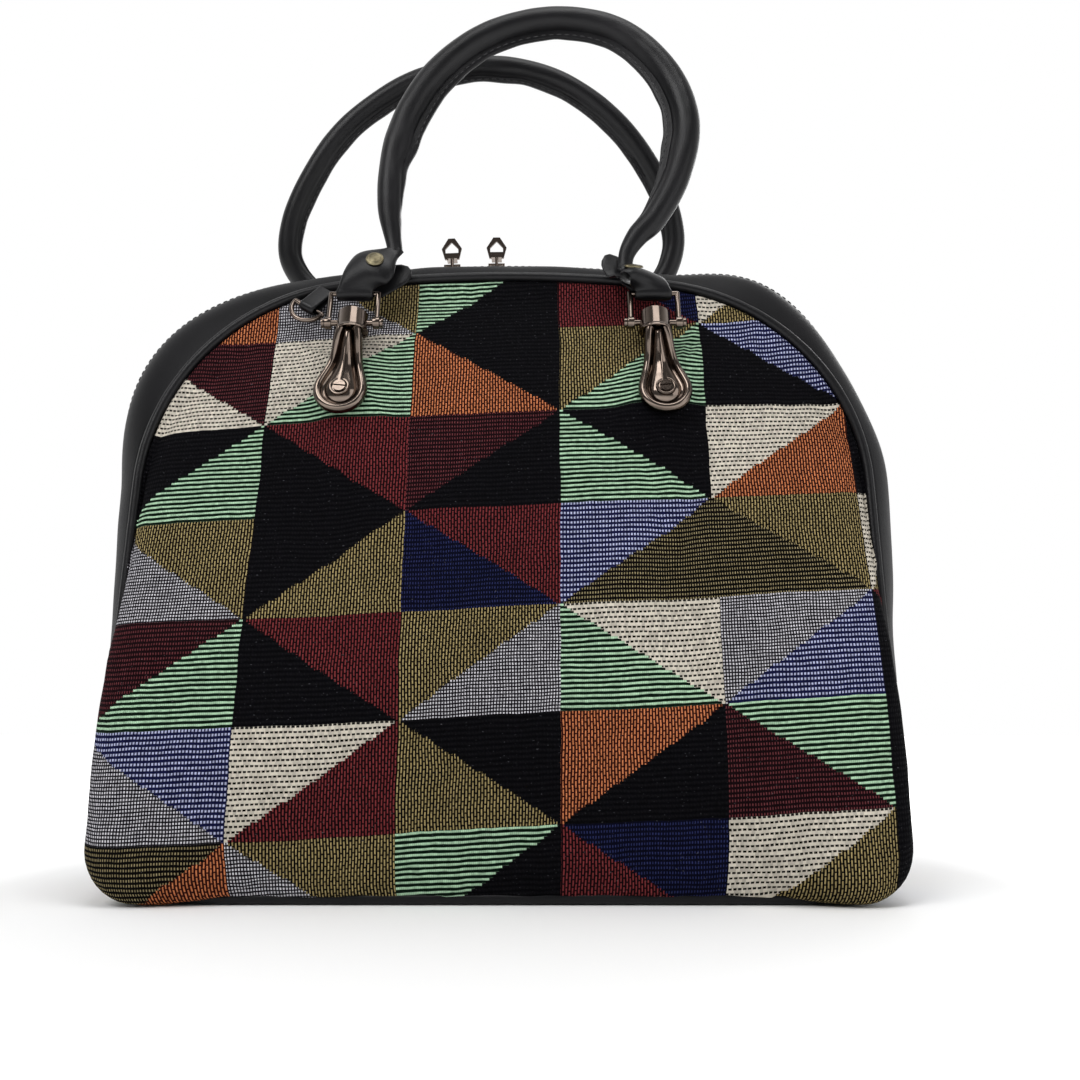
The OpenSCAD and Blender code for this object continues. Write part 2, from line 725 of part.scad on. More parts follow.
front_panel();
back() front_panel();  // back_panel
left_side();
right_side();
base_panel();
base_board();
front_piping();
back() front_piping();  // back_piping
front_zip_facing();
back() front_zip_facing();  // back_zip_facing
front_zip_tape();
back() front_zip_tape();  // back_zip_tape
zip_teeth();
left_zip_slider();
right_zip_slider();
left_zip_pull();
right_zip_pull();
at_drop(-1) drop();  // front_left_drop
at_drop(1) drop();  // front_right_drop
back() at_drop(1) drop();  // back_left_drop
back() at_drop(-1) drop();  // back_right_drop
at_drop(-1) bail();  // front_left_bail
at_drop(1) bail();  // front_right_bail
back() at_drop(1) bail();  // back_left_bail
back() at_drop(-1) bail();  // back_right_bail
color(gunmetal) on_both_faces() at_each_drop() bail_pin();  // bail_pins
color(gunmetal) on_both_faces() at_each_drop() drop_screw();  // drop_screws
color(gunmetal) on_both_faces() at_each_drop() screw_washer();  // screw_washers
on_bars(front_lean) handle(FRONT_ROUTE);  // front_handle
back() on_bars(back_lean) handle(BACK_ROUTE);  // back_handle
on_bars(front_lean) tab_rivets(FRONT_ROUTE);  // front_tab_rivets
back() on_bars(back_lean) tab_rivets(BACK_ROUTE);  // back_tab_rivets
strap_ring();  // front_strap_ring
back() strap_ring();  // back_strap_ring
ring_loop();  // front_ring_loop
back() ring_loop();  // back_ring_loop
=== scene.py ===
"""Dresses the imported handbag: woven panels, leatherette trim, zip, handles and metal drops.

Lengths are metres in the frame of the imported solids: +X right, +Z up, the front towards -Y.
"""

import json
import logging
import math
from dataclasses import dataclass, field
from enum import Enum
from typing import Any, Callable, Optional, Sequence, Union

import bmesh
import bpy
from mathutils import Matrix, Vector, noise

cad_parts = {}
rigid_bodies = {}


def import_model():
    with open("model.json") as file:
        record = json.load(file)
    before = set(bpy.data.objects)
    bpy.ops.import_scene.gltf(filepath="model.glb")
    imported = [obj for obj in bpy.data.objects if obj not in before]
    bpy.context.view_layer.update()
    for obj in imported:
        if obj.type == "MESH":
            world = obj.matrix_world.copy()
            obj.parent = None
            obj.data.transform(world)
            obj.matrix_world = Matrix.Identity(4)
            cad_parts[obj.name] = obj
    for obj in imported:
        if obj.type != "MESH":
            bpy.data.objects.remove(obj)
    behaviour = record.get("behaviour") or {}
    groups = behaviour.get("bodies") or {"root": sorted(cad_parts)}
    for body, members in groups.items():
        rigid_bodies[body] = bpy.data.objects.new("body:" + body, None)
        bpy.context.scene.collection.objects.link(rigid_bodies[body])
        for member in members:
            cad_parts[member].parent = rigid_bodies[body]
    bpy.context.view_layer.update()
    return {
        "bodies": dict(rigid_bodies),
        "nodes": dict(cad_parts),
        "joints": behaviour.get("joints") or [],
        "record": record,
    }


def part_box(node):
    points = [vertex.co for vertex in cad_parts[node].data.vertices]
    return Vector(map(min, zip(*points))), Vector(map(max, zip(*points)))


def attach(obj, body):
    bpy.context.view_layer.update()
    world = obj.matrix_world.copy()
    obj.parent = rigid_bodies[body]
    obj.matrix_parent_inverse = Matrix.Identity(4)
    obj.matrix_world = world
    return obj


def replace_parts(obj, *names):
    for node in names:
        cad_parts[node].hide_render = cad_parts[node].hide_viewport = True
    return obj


LOG = logging.getLogger("handbag")
MM = 0.001
QUARTER = math.pi / 2
FRONT, BACK = 1, -1
FACES = (("front", FRONT), ("back", BACK))
SIDES = (("left", -1), ("right", 1))

Rgb = tuple[float, float, float]
Pair = tuple[float, float]
Material = bpy.types.Material
Placing = Callable[[float, float, float], Vector]
Number = Union[float, "Signal"]


def srgb(red: int, green: int, blue: int) -> Rgb:
    """A colour as it is seen on a screen, 0 to 255, in the linear values that shaders use."""
    channels = (c / 255 for c in (red, green, blue))
    return tuple(c / 12.92 if c <= 0.04045 else ((c + 0.055) / 1.055) ** 2.4 for c in channels)


def eased(value: float, low: float, high: float) -> float:
    """0 at low, 1 at high and smooth between, whichever is larger."""
    share = min(1.0, max(0.0, (value - low) / (high - low)))
    return share * share * (3 - 2 * share)


def hump(value: float, middle: float, width: float) -> float:
    """1 at the middle, falling off like a bell."""
    return math.exp(-(((value - middle) / width) ** 2))


def between(start: Pair, end: Pair, share: float) -> Pair:
    """A place on the straight line from one place to another."""
    return tuple(a + (b - a) * share for a, b in zip(start, end))


def turned_back(points: Sequence[Vector], face: int) -> list[Vector]:
    """Points of the front, or of the back by half a turn about the upright axis."""
    return [Vector((p.x * face, p.y * face, p.z)) for p in points]


def add_object(name: str, data: Any) -> bpy.types.Object:
    """Puts a mesh, lamp or camera into the scene.

    Args:
        name: The object's name.
        data: The mesh, lamp or camera.

    Returns:
        The object.
    """
    made = bpy.data.objects.new(name, data)
    bpy.context.scene.collection.objects.link(made)
    return made


def operator(operation: str, swapped: bool = False) -> Callable[["Signal", Number], "Signal"]:
    """A Python operator on signals, which adds a Math node.

    Args:
        operation: The node's operation.
        swapped: Whether the signal stands on the right.

    Returns:
        The operator's method.
    """

    def apply(signal: "Signal", other: Number) -> "Signal":
        """The result of the two numbers."""
        pair = (other, signal) if swapped else (signal, other)
        return signal.maths(operation, *pair)

    return apply


class Signal:
    """A number that a shader works out, so that shader maths reads as Python.

    Args:
        graph: The node tree being written.
        socket: The output socket that carries the number.
    """

    def __init__(self, graph: "Graph", socket: bpy.types.NodeSocket) -> None:
        """Keeps the tree and the socket."""
        self.graph = graph
        self.socket = socket

    def maths(self, operation: str, *values: Number) -> "Signal":
        """A Math node on these values."""
        return self.graph.node("ShaderNodeMath", {"operation": operation}, dict(enumerate(values)))

    __add__, __radd__ = operator("ADD"), operator("ADD", swapped=True)
    __sub__, __rsub__ = operator("SUBTRACT"), operator("SUBTRACT", swapped=True)
    __mul__, __rmul__ = operator("MULTIPLY"), operator("MULTIPLY", swapped=True)
    __truediv__, __mod__ = operator("DIVIDE"), operator("FLOORED_MODULO")
    __lt__, __gt__ = operator("LESS_THAN"), operator("GREATER_THAN")

    def floor(self) -> "Signal":
        """The whole number below."""
        return self.maths("FLOOR", self)

    def fraction(self) -> "Signal":
        """What is left above the whole number."""
        return self - self.floor()

    def near(self, value: float, reach: float = 0.5) -> "Signal":
        """1 within reach of a value."""
        return self.maths("COMPARE", self, value, reach)

    def wave(self) -> "Signal":
        """A sine of one turn per unit, from 0 to 1."""
        return self.maths("SINE", self * math.tau) * 0.5 + 0.5

    def pulse(self, width: float, edge: float) -> "Signal":
        """1 over the first part of each unit and 0 over the rest, with soft edges.

        Args:
            width: Share of the unit that is 1.
            edge: Share of the unit over which it changes.

        Returns:
            The pulse train.
        """
        distance = self.maths("ABSOLUTE", (self - width / 2 + 0.5).fraction() - 0.5)
        return distance.stretched((width + edge) / 2, (width - edge) / 2, "SMOOTHSTEP")

    def stretched(self, low: float, high: float, way: str = "LINEAR") -> "Signal":
        """0 at low and beyond, 1 at high and beyond."""
        sockets = {"Value": self, "From Min": low, "From Max": high}
        return self.graph.node("ShaderNodeMapRange", {"interpolation_type": way}, sockets)


class Graph:
    """A node tree that is written from Python.

    Args:
        tree: The tree, which is emptied first.
    """

    def __init__(self, tree: bpy.types.NodeTree) -> None:
        """Empties the tree."""
        self.tree = tree
        self.tree.nodes.clear()

    def node(
        self, kind: str, settings: dict[str, Any], sockets: dict[Any, Any], output: Any = 0
    ) -> Signal:
        """Adds a node.

        Args:
            kind: The node's type.
            settings: Its own settings, set first; "stops" fills a colour ramp.
            sockets: Values or links for its inputs, by name or number.
            output: Which output to return.

        Returns:
            That output.
        """
        made = self.tree.nodes.new(kind)
        for key, value in settings.items():
            if key == "stops":
                self._fill_ramp(made.color_ramp, value)
            else:
                setattr(made, key, value)
        for key, value in sockets.items():
            if isinstance(value, Signal):
                self.tree.links.new(value.socket, made.inputs[key])
            else:
                made.inputs[key].default_value = value
        return Signal(self, made.outputs[output])

    @staticmethod
    def _fill_ramp(ramp: bpy.types.ColorRamp, stops: Sequence[tuple[float, Rgb]]) -> None:
        """Puts steps of colour in a ramp.

        Args:
            ramp: The ramp.
            stops: Places and colours, each held until the next.
        """
        ramp.interpolation = "CONSTANT"
        while len(ramp.elements) > 1:
            ramp.elements.remove(ramp.elements[-1])
        for index, (place, colour) in enumerate(stops):
            element = ramp.elements[0] if index == 0 else ramp.elements.new(place)
            element.position = place
            element.color = (*colour, 1.0)

    def end(self, kind: str, socket: str, signal: Signal) -> None:
        """Ends the tree in an output node."""
        self.tree.links.new(signal.socket, self.tree.nodes.new(kind).inputs[socket])

    def place(self, output: str = "Object") -> Signal:
        """The surface's own coordinates."""
        return self.node("ShaderNodeTexCoord", {}, {}, output)

    def split(self, vector: Signal) -> tuple[Signal, Signal, Signal]:
        """A vector's three numbers."""
        made = self.node("ShaderNodeSeparateXYZ", {}, {"Vector": vector})
        return tuple(Signal(self, out) for out in made.socket.node.outputs)

    def ray(self, kind: str) -> Signal:
        """1 for light rays of a kind, such as those from the camera."""
        return self.node("ShaderNodeLightPath", {}, {}, f"Is {kind} Ray")


class Shade(Graph):
    """One material's node tree.

    Args:
        name: The material's name.
    """

    def __init__(self, name: str) -> None:
        """Starts a new material."""
        self.material = bpy.data.materials.new(name)
        self.material.use_nodes = True
        super().__init__(self.material.node_tree)

    def steps(self, value: Signal, stops: Sequence[tuple[float, Rgb]]) -> Signal:
        """A colour picked from steps by a value from 0 to 1."""
        return self.node("ShaderNodeValToRGB", {"stops": stops}, {"Fac": value}, "Color")

    def join(self, x: Number, y: Number, z: Number) -> Signal:
        """A vector from three numbers."""
        return self.node("ShaderNodeCombineXYZ", {}, {"X": x, "Y": y, "Z": z})

    def stretch(self, vector: Signal, scale: Sequence[float]) -> Signal:
        """A vector scaled along each axis."""
        return self.node("ShaderNodeMapping", {}, {"Vector": vector, "Scale": scale})

    def noise(self, vector: Signal, scale: float, detail: float = 2.0) -> Signal:
        """Smooth noise, about 0 to 1, with this many blobs per metre."""
        sockets = {"Vector": vector, "Scale": scale, "Detail": detail}
        return self.node("ShaderNodeTexNoise", {}, sockets)

    def cells(self, vector: Signal, scale: float) -> Signal:
        """Distance to the nearest of scattered points, for grain."""
        return self.node("ShaderNodeTexVoronoi", {}, {"Vector": vector, "Scale": scale}, "Distance")

    def dice(self, vector: Signal) -> Signal:
        """A random number for each whole vector."""
        return self.node("ShaderNodeTexWhiteNoise", {}, {"Vector": vector}, "Value")

    def blend(self, share: Number, first: Any, second: Any, kind: str = "MIX") -> Signal:
        """Mixes two colours.

        Args:
            share: How much of the second.
            first: A colour or a link.
            second: A colour or a link.
            kind: The mix's blend type.

        Returns:
            The mixed colour.
        """
        settings = {"data_type": "RGBA", "blend_type": kind}
        first, second = (c if isinstance(c, Signal) else (*c, 1.0) for c in (first, second))
        return self.node("ShaderNodeMix", settings, {0: share, 6: first, 7: second}, 2)

    def surface(
        self, colour: Any, roughness: Number, relief: tuple[Signal, float], **more: float
    ) -> Material:
        """Ends the tree in a surface shader.

        Args:
            colour: Its base colour.
            roughness: Its roughness.
            relief: A height of 0 to 1, and how many metres tall that stands.
            more: Its shine or metallic share, where these aren't the shader's own.

        Returns:
            The material.
        """
        height, depth = relief
        bump = {"Height": height, "Distance": depth, "Strength": 1.0}
        sockets = {"Base Color": colour, "Roughness": roughness}
        sockets["Normal"] = self.node("ShaderNodeBump", {}, bump)
        names = {"shine": "Specular IOR Level", "metallic": "Metallic"}
        sockets.update({names[key]: value for key, value in more.items()})
        self.finish(sockets)
        return self.material

    def finish(self, sockets: dict[str, Any]) -> None:
        """Ends the tree in a surface shader with these inputs."""
        shader = self.node("ShaderNodeBsdfPrincipled", {}, sockets)
        self.end("ShaderNodeOutputMaterial", "Surface", shader)


class Weave(Enum):
    """How a field of the patchwork is woven."""

    RIB = "ribs across"
    SPECK = "rows of dots"
    ROW = "rows with dark dashes"
    DASH = "staggered upright dashes"
    PEPPER = "close dots"
    GRID = "upright dots in rows"
    PLAIN = "plain"


class Yarn(Enum):
    """The patchwork's fields: chart letter, weave, face colour and the colour between threads.

    Fields of one weave stand together, so that a range of them picks the weave out.
    """

    MINT = ("M", Weave.RIB, srgb(166, 200, 168), srgb(6, 20, 12))
    PERIWINKLE = ("P", Weave.SPECK, srgb(164, 168, 200), srgb(12, 15, 48))
    CREAM = ("C", Weave.ROW, srgb(188, 181, 168), srgb(18, 16, 15))
    OLIVE = ("O", Weave.DASH, srgb(148, 132, 90), srgb(4, 3, 2))
    RUST = ("R", Weave.DASH, srgb(186, 112, 72), srgb(40, 11, 9))
    MAROON = ("D", Weave.DASH, srgb(110, 43, 45), srgb(16, 4, 7))
    GREY = ("G", Weave.PEPPER, srgb(190, 188, 194), srgb(13, 12, 17))
    BURGUNDY = ("B", Weave.GRID, srgb(92, 44, 48), srgb(18, 5, 8))
    NAVY = ("N", Weave.GRID, srgb(34, 39, 78), srgb(4, 5, 22))
    DRAB = ("L", Weave.GRID, srgb(136, 124, 92), srgb(4, 3, 2))
    BLACK = ("K", Weave.PLAIN, srgb(11, 10, 13), srgb(2, 2, 4))

    def __init__(self, letter: str, weave: Weave, face: Rgb, ground: Rgb) -> None:
        """Names the four values."""
        self.letter = letter
        self.weave = weave
        self.face = face
        self.ground = ground


YARNS: tuple[Yarn, ...] = tuple(Yarn)

# The repeat of the patchwork, from the top row down. Each pair is one column's two triangles,
# the left one first; columns run from left to right and the diagonals alternate.
PATCHWORK: tuple[str, ...] = (
    "NN LR GO MK DN CO KK",
    "NB CB CM RK OM KP PM",
    "NN KM KD BK MK CR KO",
    "RR GO KO ND PL LO CO",
    "NN BM KD OG MC GP KD",
    "RR GP CD OK RK BM KK",
)


@dataclass(frozen=True)
class WovenPatchwork:
    """Jacquard cloth of triangles; the UV map gives metres right and down from its corner."""

    column: float = 71.4 * MM
    row: float = 47.8 * MM
    threads: int = 48
    ribs: int = 21
    relief: float = 0.45 * MM
    sway_x: float = 2.2 * MM
    sway_z: float = 1.6 * MM
    shake_z: float = 0.5 * MM
    sways: float = 45.0
    shakes: float = 160.0
    fades: float = 14.0
    fibres: float = 640.0
    lint: Rgb = srgb(150, 150, 158)
    lint_share: float = 0.22
    shine: float = 0.05

    def _code(self, shade: Shade, u: Signal, v: Signal) -> Signal:
        """Which yarn a thread belongs to, as a share of the list of yarns.

        Args:
            shade: The shader being written.
            u: The thread's place across, in columns.
            v: The rib's place down, in rows.

        Returns:
            The yarn's number plus a half, over the count of yarns.
        """
        column, row = u.floor(), v.floor()
        across, down = u - column, v - row
        falling = (column + row) % 2
        right = falling * (across > down) + (1 - falling) * ((across + down) > 1)
        pairs = [line.split() for line in PATCHWORK]
        fields = 2 * len(pairs[0])
        pick = (((column + 1) % len(pairs[0])) * 2 + right + 0.5) / fields
        letters = {yarn.letter: (k + 0.5) / len(YARNS) for k, yarn in enumerate(YARNS)}
        code: Number = 0.0
        for number, line in enumerate(pairs):
            stops = [(k / fields, (letters[c],) * 3) for k, c in enumerate("".join(line))]
            code = shade.steps(pick, stops) * (row % len(pairs)).near(number) + code
        return code

    def _light(self, code: Signal, warp: Signal, weft: Signal) -> Signal:
        """How much of a yarn's face shows between the ground threads.

        Each pulse says what share of its pitch a thread takes up, and how soft its edge is.

        Args:
            code: The yarn, from _code.
            warp: Threads counted across.
            weft: Ribs counted down.

        Returns:
            0 where the ground shows and 1 on the face.
        """
        odd_dash, odd_weft = (warp * 1.1).floor() % 2, weft.floor() % 2
        dashes = (weft / 1.45 + odd_dash * 0.5).pulse(0.8, 0.1)
        gaps = (warp / 1.35 + odd_weft * 0.5).pulse(0.7, 0.12)
        looks = {
            Weave.RIB: weft.pulse(0.43, 0.13) * ((warp * 1.8).wave() * 0.3 + 0.7),
            Weave.SPECK: weft.pulse(0.47, 0.14) * (warp * 1.02).pulse(0.58, 0.18),
            Weave.ROW: 1 - weft.pulse(0.4, 0.12) * gaps,
            Weave.DASH: (warp * 1.1).pulse(0.46, 0.1) * dashes,
            Weave.PEPPER: (warp * 1.15).pulse(0.56, 0.16) * (weft * 1.5).pulse(0.58, 0.16),
            Weave.GRID: (warp * 1.25).pulse(0.46, 0.13) * (weft * 1.1).pulse(0.5, 0.13),
            Weave.PLAIN: weft.pulse(0.5, 0.4) * (warp.wave() * 0.5 + 0.5),
        }
        light: Number = 0.0
        for weave, look in looks.items():
            members = [k for k, yarn in enumerate(YARNS) if yarn.weave is weave]
            first, last = min(members) / len(YARNS), (max(members) + 1) / len(YARNS)
            light = look * (code > first) * (code < last) + light
        return light

    def material(self) -> Material:
        """The cloth's material.

        Returns:
            A new material.
        """
        shade, count = Shade("woven patchwork"), len(YARNS)
        place = shade.place("UV")
        sway = shade.noise(place, self.sways) - 0.5
        shake = shade.noise(shade.stretch(place, (1, 3, 1)), self.shakes) - 0.5
        u, v, _ = shade.split(place)
        warp = (u + sway * self.sway_x) / self.column * self.threads
        weft = (v + sway * self.sway_z + shake * self.shake_z) / self.row * self.ribs
        half_rib = (weft * 2).floor() / 2 + 0.25
        code = self._code(shade, (warp.floor() + 0.5) / self.threads, half_rib / self.ribs)
        light = self._light(code, warp, weft)
        face = shade.steps(code, [(k / count, yarn.face) for k, yarn in enumerate(YARNS)])
        ground = shade.steps(code, [(k / count, yarn.ground) for k, yarn in enumerate(YARNS)])
        uneven = shade.dice(shade.join(warp.floor(), weft.floor(), code * count))
        worn = shade.noise(place, self.fades, 4)
        tone = uneven * 0.4 + worn * 0.36 + 0.62
        cloth = shade.blend(1.0, shade.blend(light, ground, face), tone, "MULTIPLY")
        fluff = shade.noise(shade.stretch(place, (1.0, 2.2, 1.0)), self.fibres, 1)
        cloth = shade.blend(fluff.stretched(0.7, 0.82) * self.lint_share, cloth, self.lint)
        height = light * 0.55 + weft.wave() * 0.25 + warp.wave() * 0.12 + worn * 0.2
        return shade.surface(cloth, 0.9 - light * 0.1, (height, self.relief), shine=self.shine)


@dataclass(frozen=True)
class Leatherette:
    """Black coated cloth with a fine pressed grain, soft creases and a satin gloss."""

    name: str = "black leatherette"
    tint: Rgb = srgb(8, 8, 10)
    rubbed: Rgb = srgb(19, 18, 21)
    grain: float = 1500.0
    creases: float = 190.0
    patches: float = 26.0
    relief: float = 0.10 * MM
    roughness: float = 0.2
    shine: float = 0.2

    def material(self) -> Material:
        """The leatherette's material.

        Returns:
            A new material.
        """
        shade = Shade(self.name)
        place = shade.place()
        pores = shade.cells(place, self.grain)
        creases = shade.noise(shade.stretch(place, (1.0, 1.0, 0.35)), self.creases, 5)
        patches = shade.noise(place, self.patches, 4)
        colour = shade.blend(patches.stretched(0.35, 0.75) * 0.7, self.tint, self.rubbed)
        roughness = patches * 0.22 + pores * 0.12 + self.roughness
        relief = (creases * 0.6 + pores * 0.5, self.relief)
        return shade.surface(colour, roughness, relief, shine=self.shine)


@dataclass(frozen=True)
class ZipTape:
    """Black herringbone tape; the UV map gives metres along and across it."""

    twill: float = 1.1 * MM
    band: float = 3.2 * MM
    relief: float = 0.2 * MM
    dust: float = 300.0
    dark: Rgb = srgb(12, 12, 14)
    pale: Rgb = srgb(38, 37, 40)
    shine: float = 0.2

    def material(self) -> Material:
        """The tape's material.

        Returns:
            A new material.
        """
        shade = Shade("zip tape")
        place = shade.place("UV")
        along, across, _ = shade.split(place)
        band = (across / self.band).floor() % 2
        threads = ((along + across * (band * 2 - 1)) / self.twill).pulse(0.55, 0.3)
        dust = shade.noise(place, self.dust, 3)
        colour = shade.blend(threads * 0.6 + dust * 0.3, self.dark, self.pale)
        relief = (threads, self.relief)
        return shade.surface(colour, 0.92 - threads * 0.12, relief, shine=self.shine)


@dataclass(frozen=True)
class Metal:
    """Polished or aged plated metal with faint smears, and darker tarnish in patches."""

    name: str
    plate: Rgb
    tarnish: Rgb
    gloss: float
    wear: float
    patches: float = 240.0
    smears: float = 900.0
    relief: float = 0.012 * MM

    def material(self) -> Material:
        """The metal's material.

        Returns:
            A new material.
        """
        shade = Shade(self.name)
        place = shade.place()
        patches = shade.noise(place, self.patches, 4)
        smears = shade.noise(shade.stretch(place, (1.0, 1.0, 0.2)), self.smears, 3)
        worn = patches.stretched(0.42, 0.72) * self.wear
        colour = shade.blend(worn, self.plate, self.tarnish)
        roughness = smears * 0.1 + patches * self.wear * 0.2 + self.gloss
        relief = (smears * 0.5 + patches, self.relief)
        return shade.surface(colour, roughness, relief, metallic=1.0)


@dataclass(frozen=True)
class MouldedPlastic:
    """Black moulded zip teeth, a little dusty between."""

    black: Rgb = srgb(13, 13, 15)
    dusty: Rgb = srgb(38, 37, 40)
    dust: float = 420.0
    relief: float = 0.05 * MM
    shine: float = 0.2

    def material(self) -> Material:
        """The plastic's material.

        Returns:
            A new material.
        """
        shade = Shade("moulded teeth")
        dust = shade.noise(shade.place(), self.dust, 4)
        colour = shade.blend(dust.stretched(0.45, 0.8) * 0.5, self.black, self.dusty)
        return shade.surface(colour, dust * 0.3 + 0.3, (dust, self.relief), shine=self.shine)


@dataclass(frozen=True)
class PressedBoard:
    """Grey-brown fibre board that stiffens the base."""

    dark: Rgb = srgb(120, 108, 92)
    pale: Rgb = srgb(168, 156, 138)
    fibres: float = 180.0
    relief: float = 0.15 * MM

    def material(self) -> Material:
        """The board's material.

        Returns:
            A new material.
        """
        shade = Shade("pressed board")
        fibres = shade.noise(shade.stretch(shade.place(), (1.0, 6.0, 1.0)), self.fibres, 6)
        colour = shade.blend(fibres, self.dark, self.pale)
        return shade.surface(colour, fibres * 0.2 + 0.7, (fibres, self.relief))


@dataclass(frozen=True)
class Thread:
    """Waxed black sewing thread with a twist."""

    dark: Rgb = srgb(12, 12, 14)
    pale: Rgb = srgb(34, 33, 36)
    pitch: float = 0.6 * MM
    relief: float = 0.06 * MM

    def material(self) -> Material:
        """The thread's material.

        Returns:
            A new material.
        """
        shade = Shade("sewing thread")
        x, y, z = shade.split(shade.place())
        twist = ((x + y + z) / self.pitch).pulse(0.6, 0.3)
        colour = shade.blend(twist, self.dark, self.pale)
        return shade.surface(colour, 0.62 - twist * 0.15, (twist, self.relief))


class Finishes:
    """Every material of the bag, made once."""

    def __init__(self) -> None:
        """Makes the materials."""
        nickel = Metal("dark nickel", srgb(106, 95, 87), srgb(66, 58, 54), gloss=0.05, wear=0.3)
        brass = Metal("aged brass", srgb(112, 105, 84), srgb(74, 67, 50), gloss=0.26, wear=0.8)
        worn = Leatherette("worn leatherette", roughness=0.3, shine=0.11)
        self.cloth = WovenPatchwork().material()
        self.leatherette = Leatherette().material()
        self.facing = worn.material()
        self.tape = ZipTape().material()
        self.teeth = MouldedPlastic().material()
        self.gunmetal = nickel.material()
        self.rivet = brass.material()
        self.board = PressedBoard().material()
        self.thread = Thread().material()


@dataclass
class Skin:
    """Points, faces and a flat map collected for one piece."""

    points: list[Vector] = field(default_factory=list)
    faces: list[tuple[int, ...]] = field(default_factory=list)
    flat: list[Pair] = field(default_factory=list)

    def row(self, points: Sequence[Vector], flat: Optional[Sequence[Pair]] = None) -> list[int]:
        """Adds a row of points.

        Args:
            points: The points.
            flat: Their places on the flat map, where it matters.

        Returns:
            Their numbers.
        """
        first = len(self.points)
        self.points.extend(points)
        self.flat.extend(flat if flat is not None else [(0.0, 0.0)] * len(points))
        return list(range(first, len(self.points)))

    def web(self, rows: Sequence[Sequence[int]], around: bool) -> None:
        """Joins each row of points to the next by four-sided faces.

        Args:
            rows: Numbers of the points, row by row, all as long as each other.
            around: Whether a row's last point joins its first.
        """
        for one, two in zip(rows, rows[1:]):
            count = len(one) if around else len(one) - 1
            for k in range(count):
                after = (k + 1) % len(one)
                self.faces.append((one[k], one[after], two[after], two[k]))

    def fan(self, ring: Sequence[int], tip: Vector, flat: Pair = (0.0, 0.0)) -> None:
        """Closes a ring of points onto one point.

        Args:
            ring: Numbers of the ring's points.
            tip: The point.
            flat: Its place on the flat map.
        """
        (end,) = self.row([tip], [flat])
        for k, point in enumerate(ring):
            self.faces.append((point, ring[(k + 1) % len(ring)], end))

    def tube(self, rings: Sequence[Sequence[Vector]], closed: bool = False) -> None:
        """Skins rings of points.

        Args:
            rings: The rings, all as long as each other.
            closed: Whether the last ring joins the first; otherwise both ends are capped.
        """
        rows = [self.row(ring) for ring in rings]
        if closed:
            self.web([*rows, rows[0]], True)
            return
        self.web(rows, True)
        for ring, row in ((rings[0], rows[0]), (rings[-1], rows[-1])):
            self.fan(row, sum(ring, Vector()) / len(ring))

    def slab(
        self,
        outer: Sequence[Sequence[Vector]],
        inner: Sequence[Sequence[Vector]],
        flat: Sequence[Sequence[Pair]],
    ) -> None:
        """A closed sheet between two grids of points.

        Args:
            outer: Rows of points on the outside.
            inner: The same grid on the inside.
            flat: The grid's flat map, used for both.
        """
        tops = [self.row(row, line) for row, line in zip(outer, flat)]
        unders = [self.row(row, line) for row, line in zip(inner, flat)]
        self.web(tops, False)
        self.web([list(reversed(row)) for row in unders], False)
        for end in (0, -1):
            self.web([tops[end], unders[end]], False)
        for side in (0, -1):
            self.web([[row[side] for row in tops], [row[side] for row in unders]], False)

    def turned(self, outline: Sequence[Vector], place: Placing, count: int) -> None:
        """Turns a half outline about an axis.

        Args:
            outline: Its points as (distance from the axis, distance along it).
            place: Gives the point for two distances across the axis and one along it.
            count: Steps round the axis.
        """
        turns = [math.tau * k / count for k in range(count)]
        self.tube(
            [[place(p.x * math.cos(a), p.x * math.sin(a), p.y) for a in turns] for p in outline]
        )

    def piece(self, name: str, material: Material, sharp: float = 40.0) -> bpy.types.Object:
        """Makes the object, at the origin, with its faces outward.

        Args:
            name: The piece's name.
            material: Its finish.
            sharp: Edges that turn by more than this many degrees are drawn crisp.

        Returns:
            The object.
        """
        mesh = bpy.data.meshes.new(name)
        mesh.from_pydata(self.points, [], self.faces)
        layer = mesh.uv_layers.new(name="flat")
        for loop in mesh.loops:
            layer.data[loop.index].uv = self.flat[loop.vertex_index]
        work = bmesh.new()
        work.from_mesh(mesh)
        bmesh.ops.recalc_face_normals(work, faces=work.faces)
        work.to_mesh(mesh)
        work.free()
        mesh.polygons.foreach_set("use_smooth", [True] * len(mesh.polygons))
        mesh.set_sharp_from_angle(angle=math.radians(sharp))
        mesh.materials.append(material)
        LOG.info("%s made", name)
        return add_object(name, mesh)


@dataclass(frozen=True)
class Stop:
    """A place on the seam outline, the way its outside faces, and metres from the start."""

    x: float
    z: float
    turn: float
    run: float = 0.0

    def out(self) -> Vector:
        """The outward direction."""
        return Vector((math.cos(self.turn), 0.0, math.sin(self.turn)))

    def at(self, y: float, off: float = 0.0) -> Vector:
        """The point at a depth, moved outward."""
        return Vector((self.x, y, self.z)) + self.out() * off

    def mirrored(self) -> "Stop":
        """The same place on the other side."""
        return Stop(-self.x, self.z, math.pi - self.turn, self.run)


